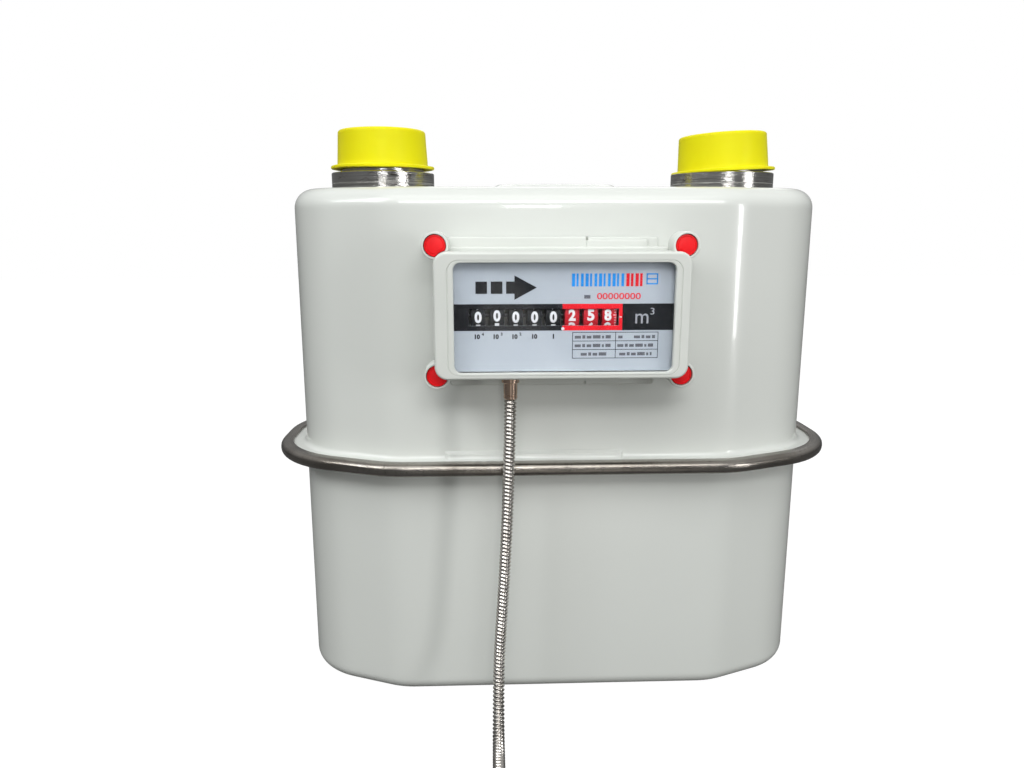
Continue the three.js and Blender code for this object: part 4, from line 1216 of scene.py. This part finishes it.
drumShape = {
    "first": -49.2, "pitch": 10.3, "width": 7.9, "radius": 11.6, "axis": (-84.7, 246.5), "bore": 1.3,
    "black": 5, "digitHeight": 6.4, "digitWidth": 3.9, "bold": 0.045,
    "shown": [0, 0, 0, 0, 0, 2, 5, 8], "advance": [0, 4, 0, 0, 0, 5, 5, 5],  # degrees past the digit
    "ticks": (50, 1.0, 0.28),
}


# a flat sheet of points wrapped on the drum: angle = height / radius
def wrapOnDrum(points, x, shape, turn):
    y, z = shape["axis"]
    angle = points[:, 1] / shape["radius"] + turn
    radius = shape["radius"] + points[:, 2]
    return np.column_stack([x + points[:, 0], y - radius * np.cos(angle), z + radius * np.sin(angle)])


# cuts a flat mesh into strips so that it can be bent
def sliceMesh(points, faces, heights):
    work = bmesh.new()
    mesh = bpy.data.meshes.new("strip")
    mesh.from_pydata(points, [], faces)
    work.from_mesh(mesh)
    for height in heights:
        bmesh.ops.bisect_plane(work, geom=work.verts[:] + work.edges[:] + work.faces[:],
                               plane_co=(0, height, 0), plane_no=(0, 1, 0))
    work.verts.ensure_lookup_table()
    work.verts.index_update()
    sliced = np.array([vert.co[:] for vert in work.verts])
    faces = [tuple(vert.index for vert in face.verts) for face in work.faces]
    work.free()
    bpy.data.meshes.remove(mesh)
    return sliced, faces


def makeDrums(shape):
    radius, width, bore = shape["radius"], shape["width"], shape["bore"]
    half, high = width / 2, shape["digitHeight"]
    heights = np.linspace(-high / 2, high / 2, 9)[1:-1]
    digits = [sliceMesh(*glyphMesh(str(k), high, shape["digitWidth"] * (0.62 if k == 1 else 1.0),
                                   shape["bold"], 0.06, -0.02), heights) for k in range(10)]
    profile = [(bore, -half + 1), (3.2, -half + 1), (3.2, -half), (5, -half), (5, -half + 1.2),
               (9.6, -half + 1.2), (9.6, -half), (radius - 0.25, -half), (radius, -half + 0.25)]
    profile = np.array(profile + [(r, -x) for r, x in profile[::-1]])
    y, z = shape["axis"]
    last = len(shape["shown"]) - 1
    for k, (shown, advance) in enumerate(zip(shape["shown"], shape["advance"])):
        x, body = shape["first"] + k * shape["pitch"], f"decade_{k + 1}"
        finish = "drum_red" if k >= shape["black"] else "drum_black"
        grid = turnedAlongX(profile, y, z, 80)
        grid[..., 0] += x
        settle(solidFrom(f"number_drum_{k + 1}", grid, True), body, finish, [f"drum_{k + 1}"], sharp=30)
        parts = []
        shift = -0.9 if k == last else 0.0
        for value, (flat, sides) in enumerate(digits):
            turn = math.radians(((shown - value) * 36 + advance) % 360)
            parts.append((wrapOnDrum(flat + [shift, 0, 0], x, shape, turn), sides))
        if k == last:
            count, length, thick = shape["ticks"]
            for tick in range(count):
                long = length * (1.7 if tick % 5 == 0 else 1.0)
                flat = (boxCorners * [1, 1, 0.06] - [0, 0, 0.02]) * [long, thick, 1]
                flat += [half - 0.25 - long, -thick / 2, 0]
                turn = math.radians(tick * 360 / count + advance)
                parts.append((wrapOnDrum(flat, x, shape, turn), boxSides))
        settle(solidOf(f"drum_digits_{k + 1}", *gather(parts)), body, "mark_white", sharp=30)


makeDial(dialShape)
makeMarks(scaleMarks)
makeDrums(drumShape)
makeBars("reading_line", [(28.1, 29.5, 246.3, 246.75)], dialShape["front"] - dialShape["print"], 0.04,
         "mark_white")
print("dial and drums made")


# ---- pieces that keep their CAD shape get a finish of their own

slotOf = {part["node"]: part["material_slot"] for part in frame["record"]["subparts"]}
for node, piece in frame["nodes"].items():
    if node in slotOf:
        piece.data.materials.clear()
        piece.data.materials.append(materials[slotOf[node]])
print("inner pieces finished")
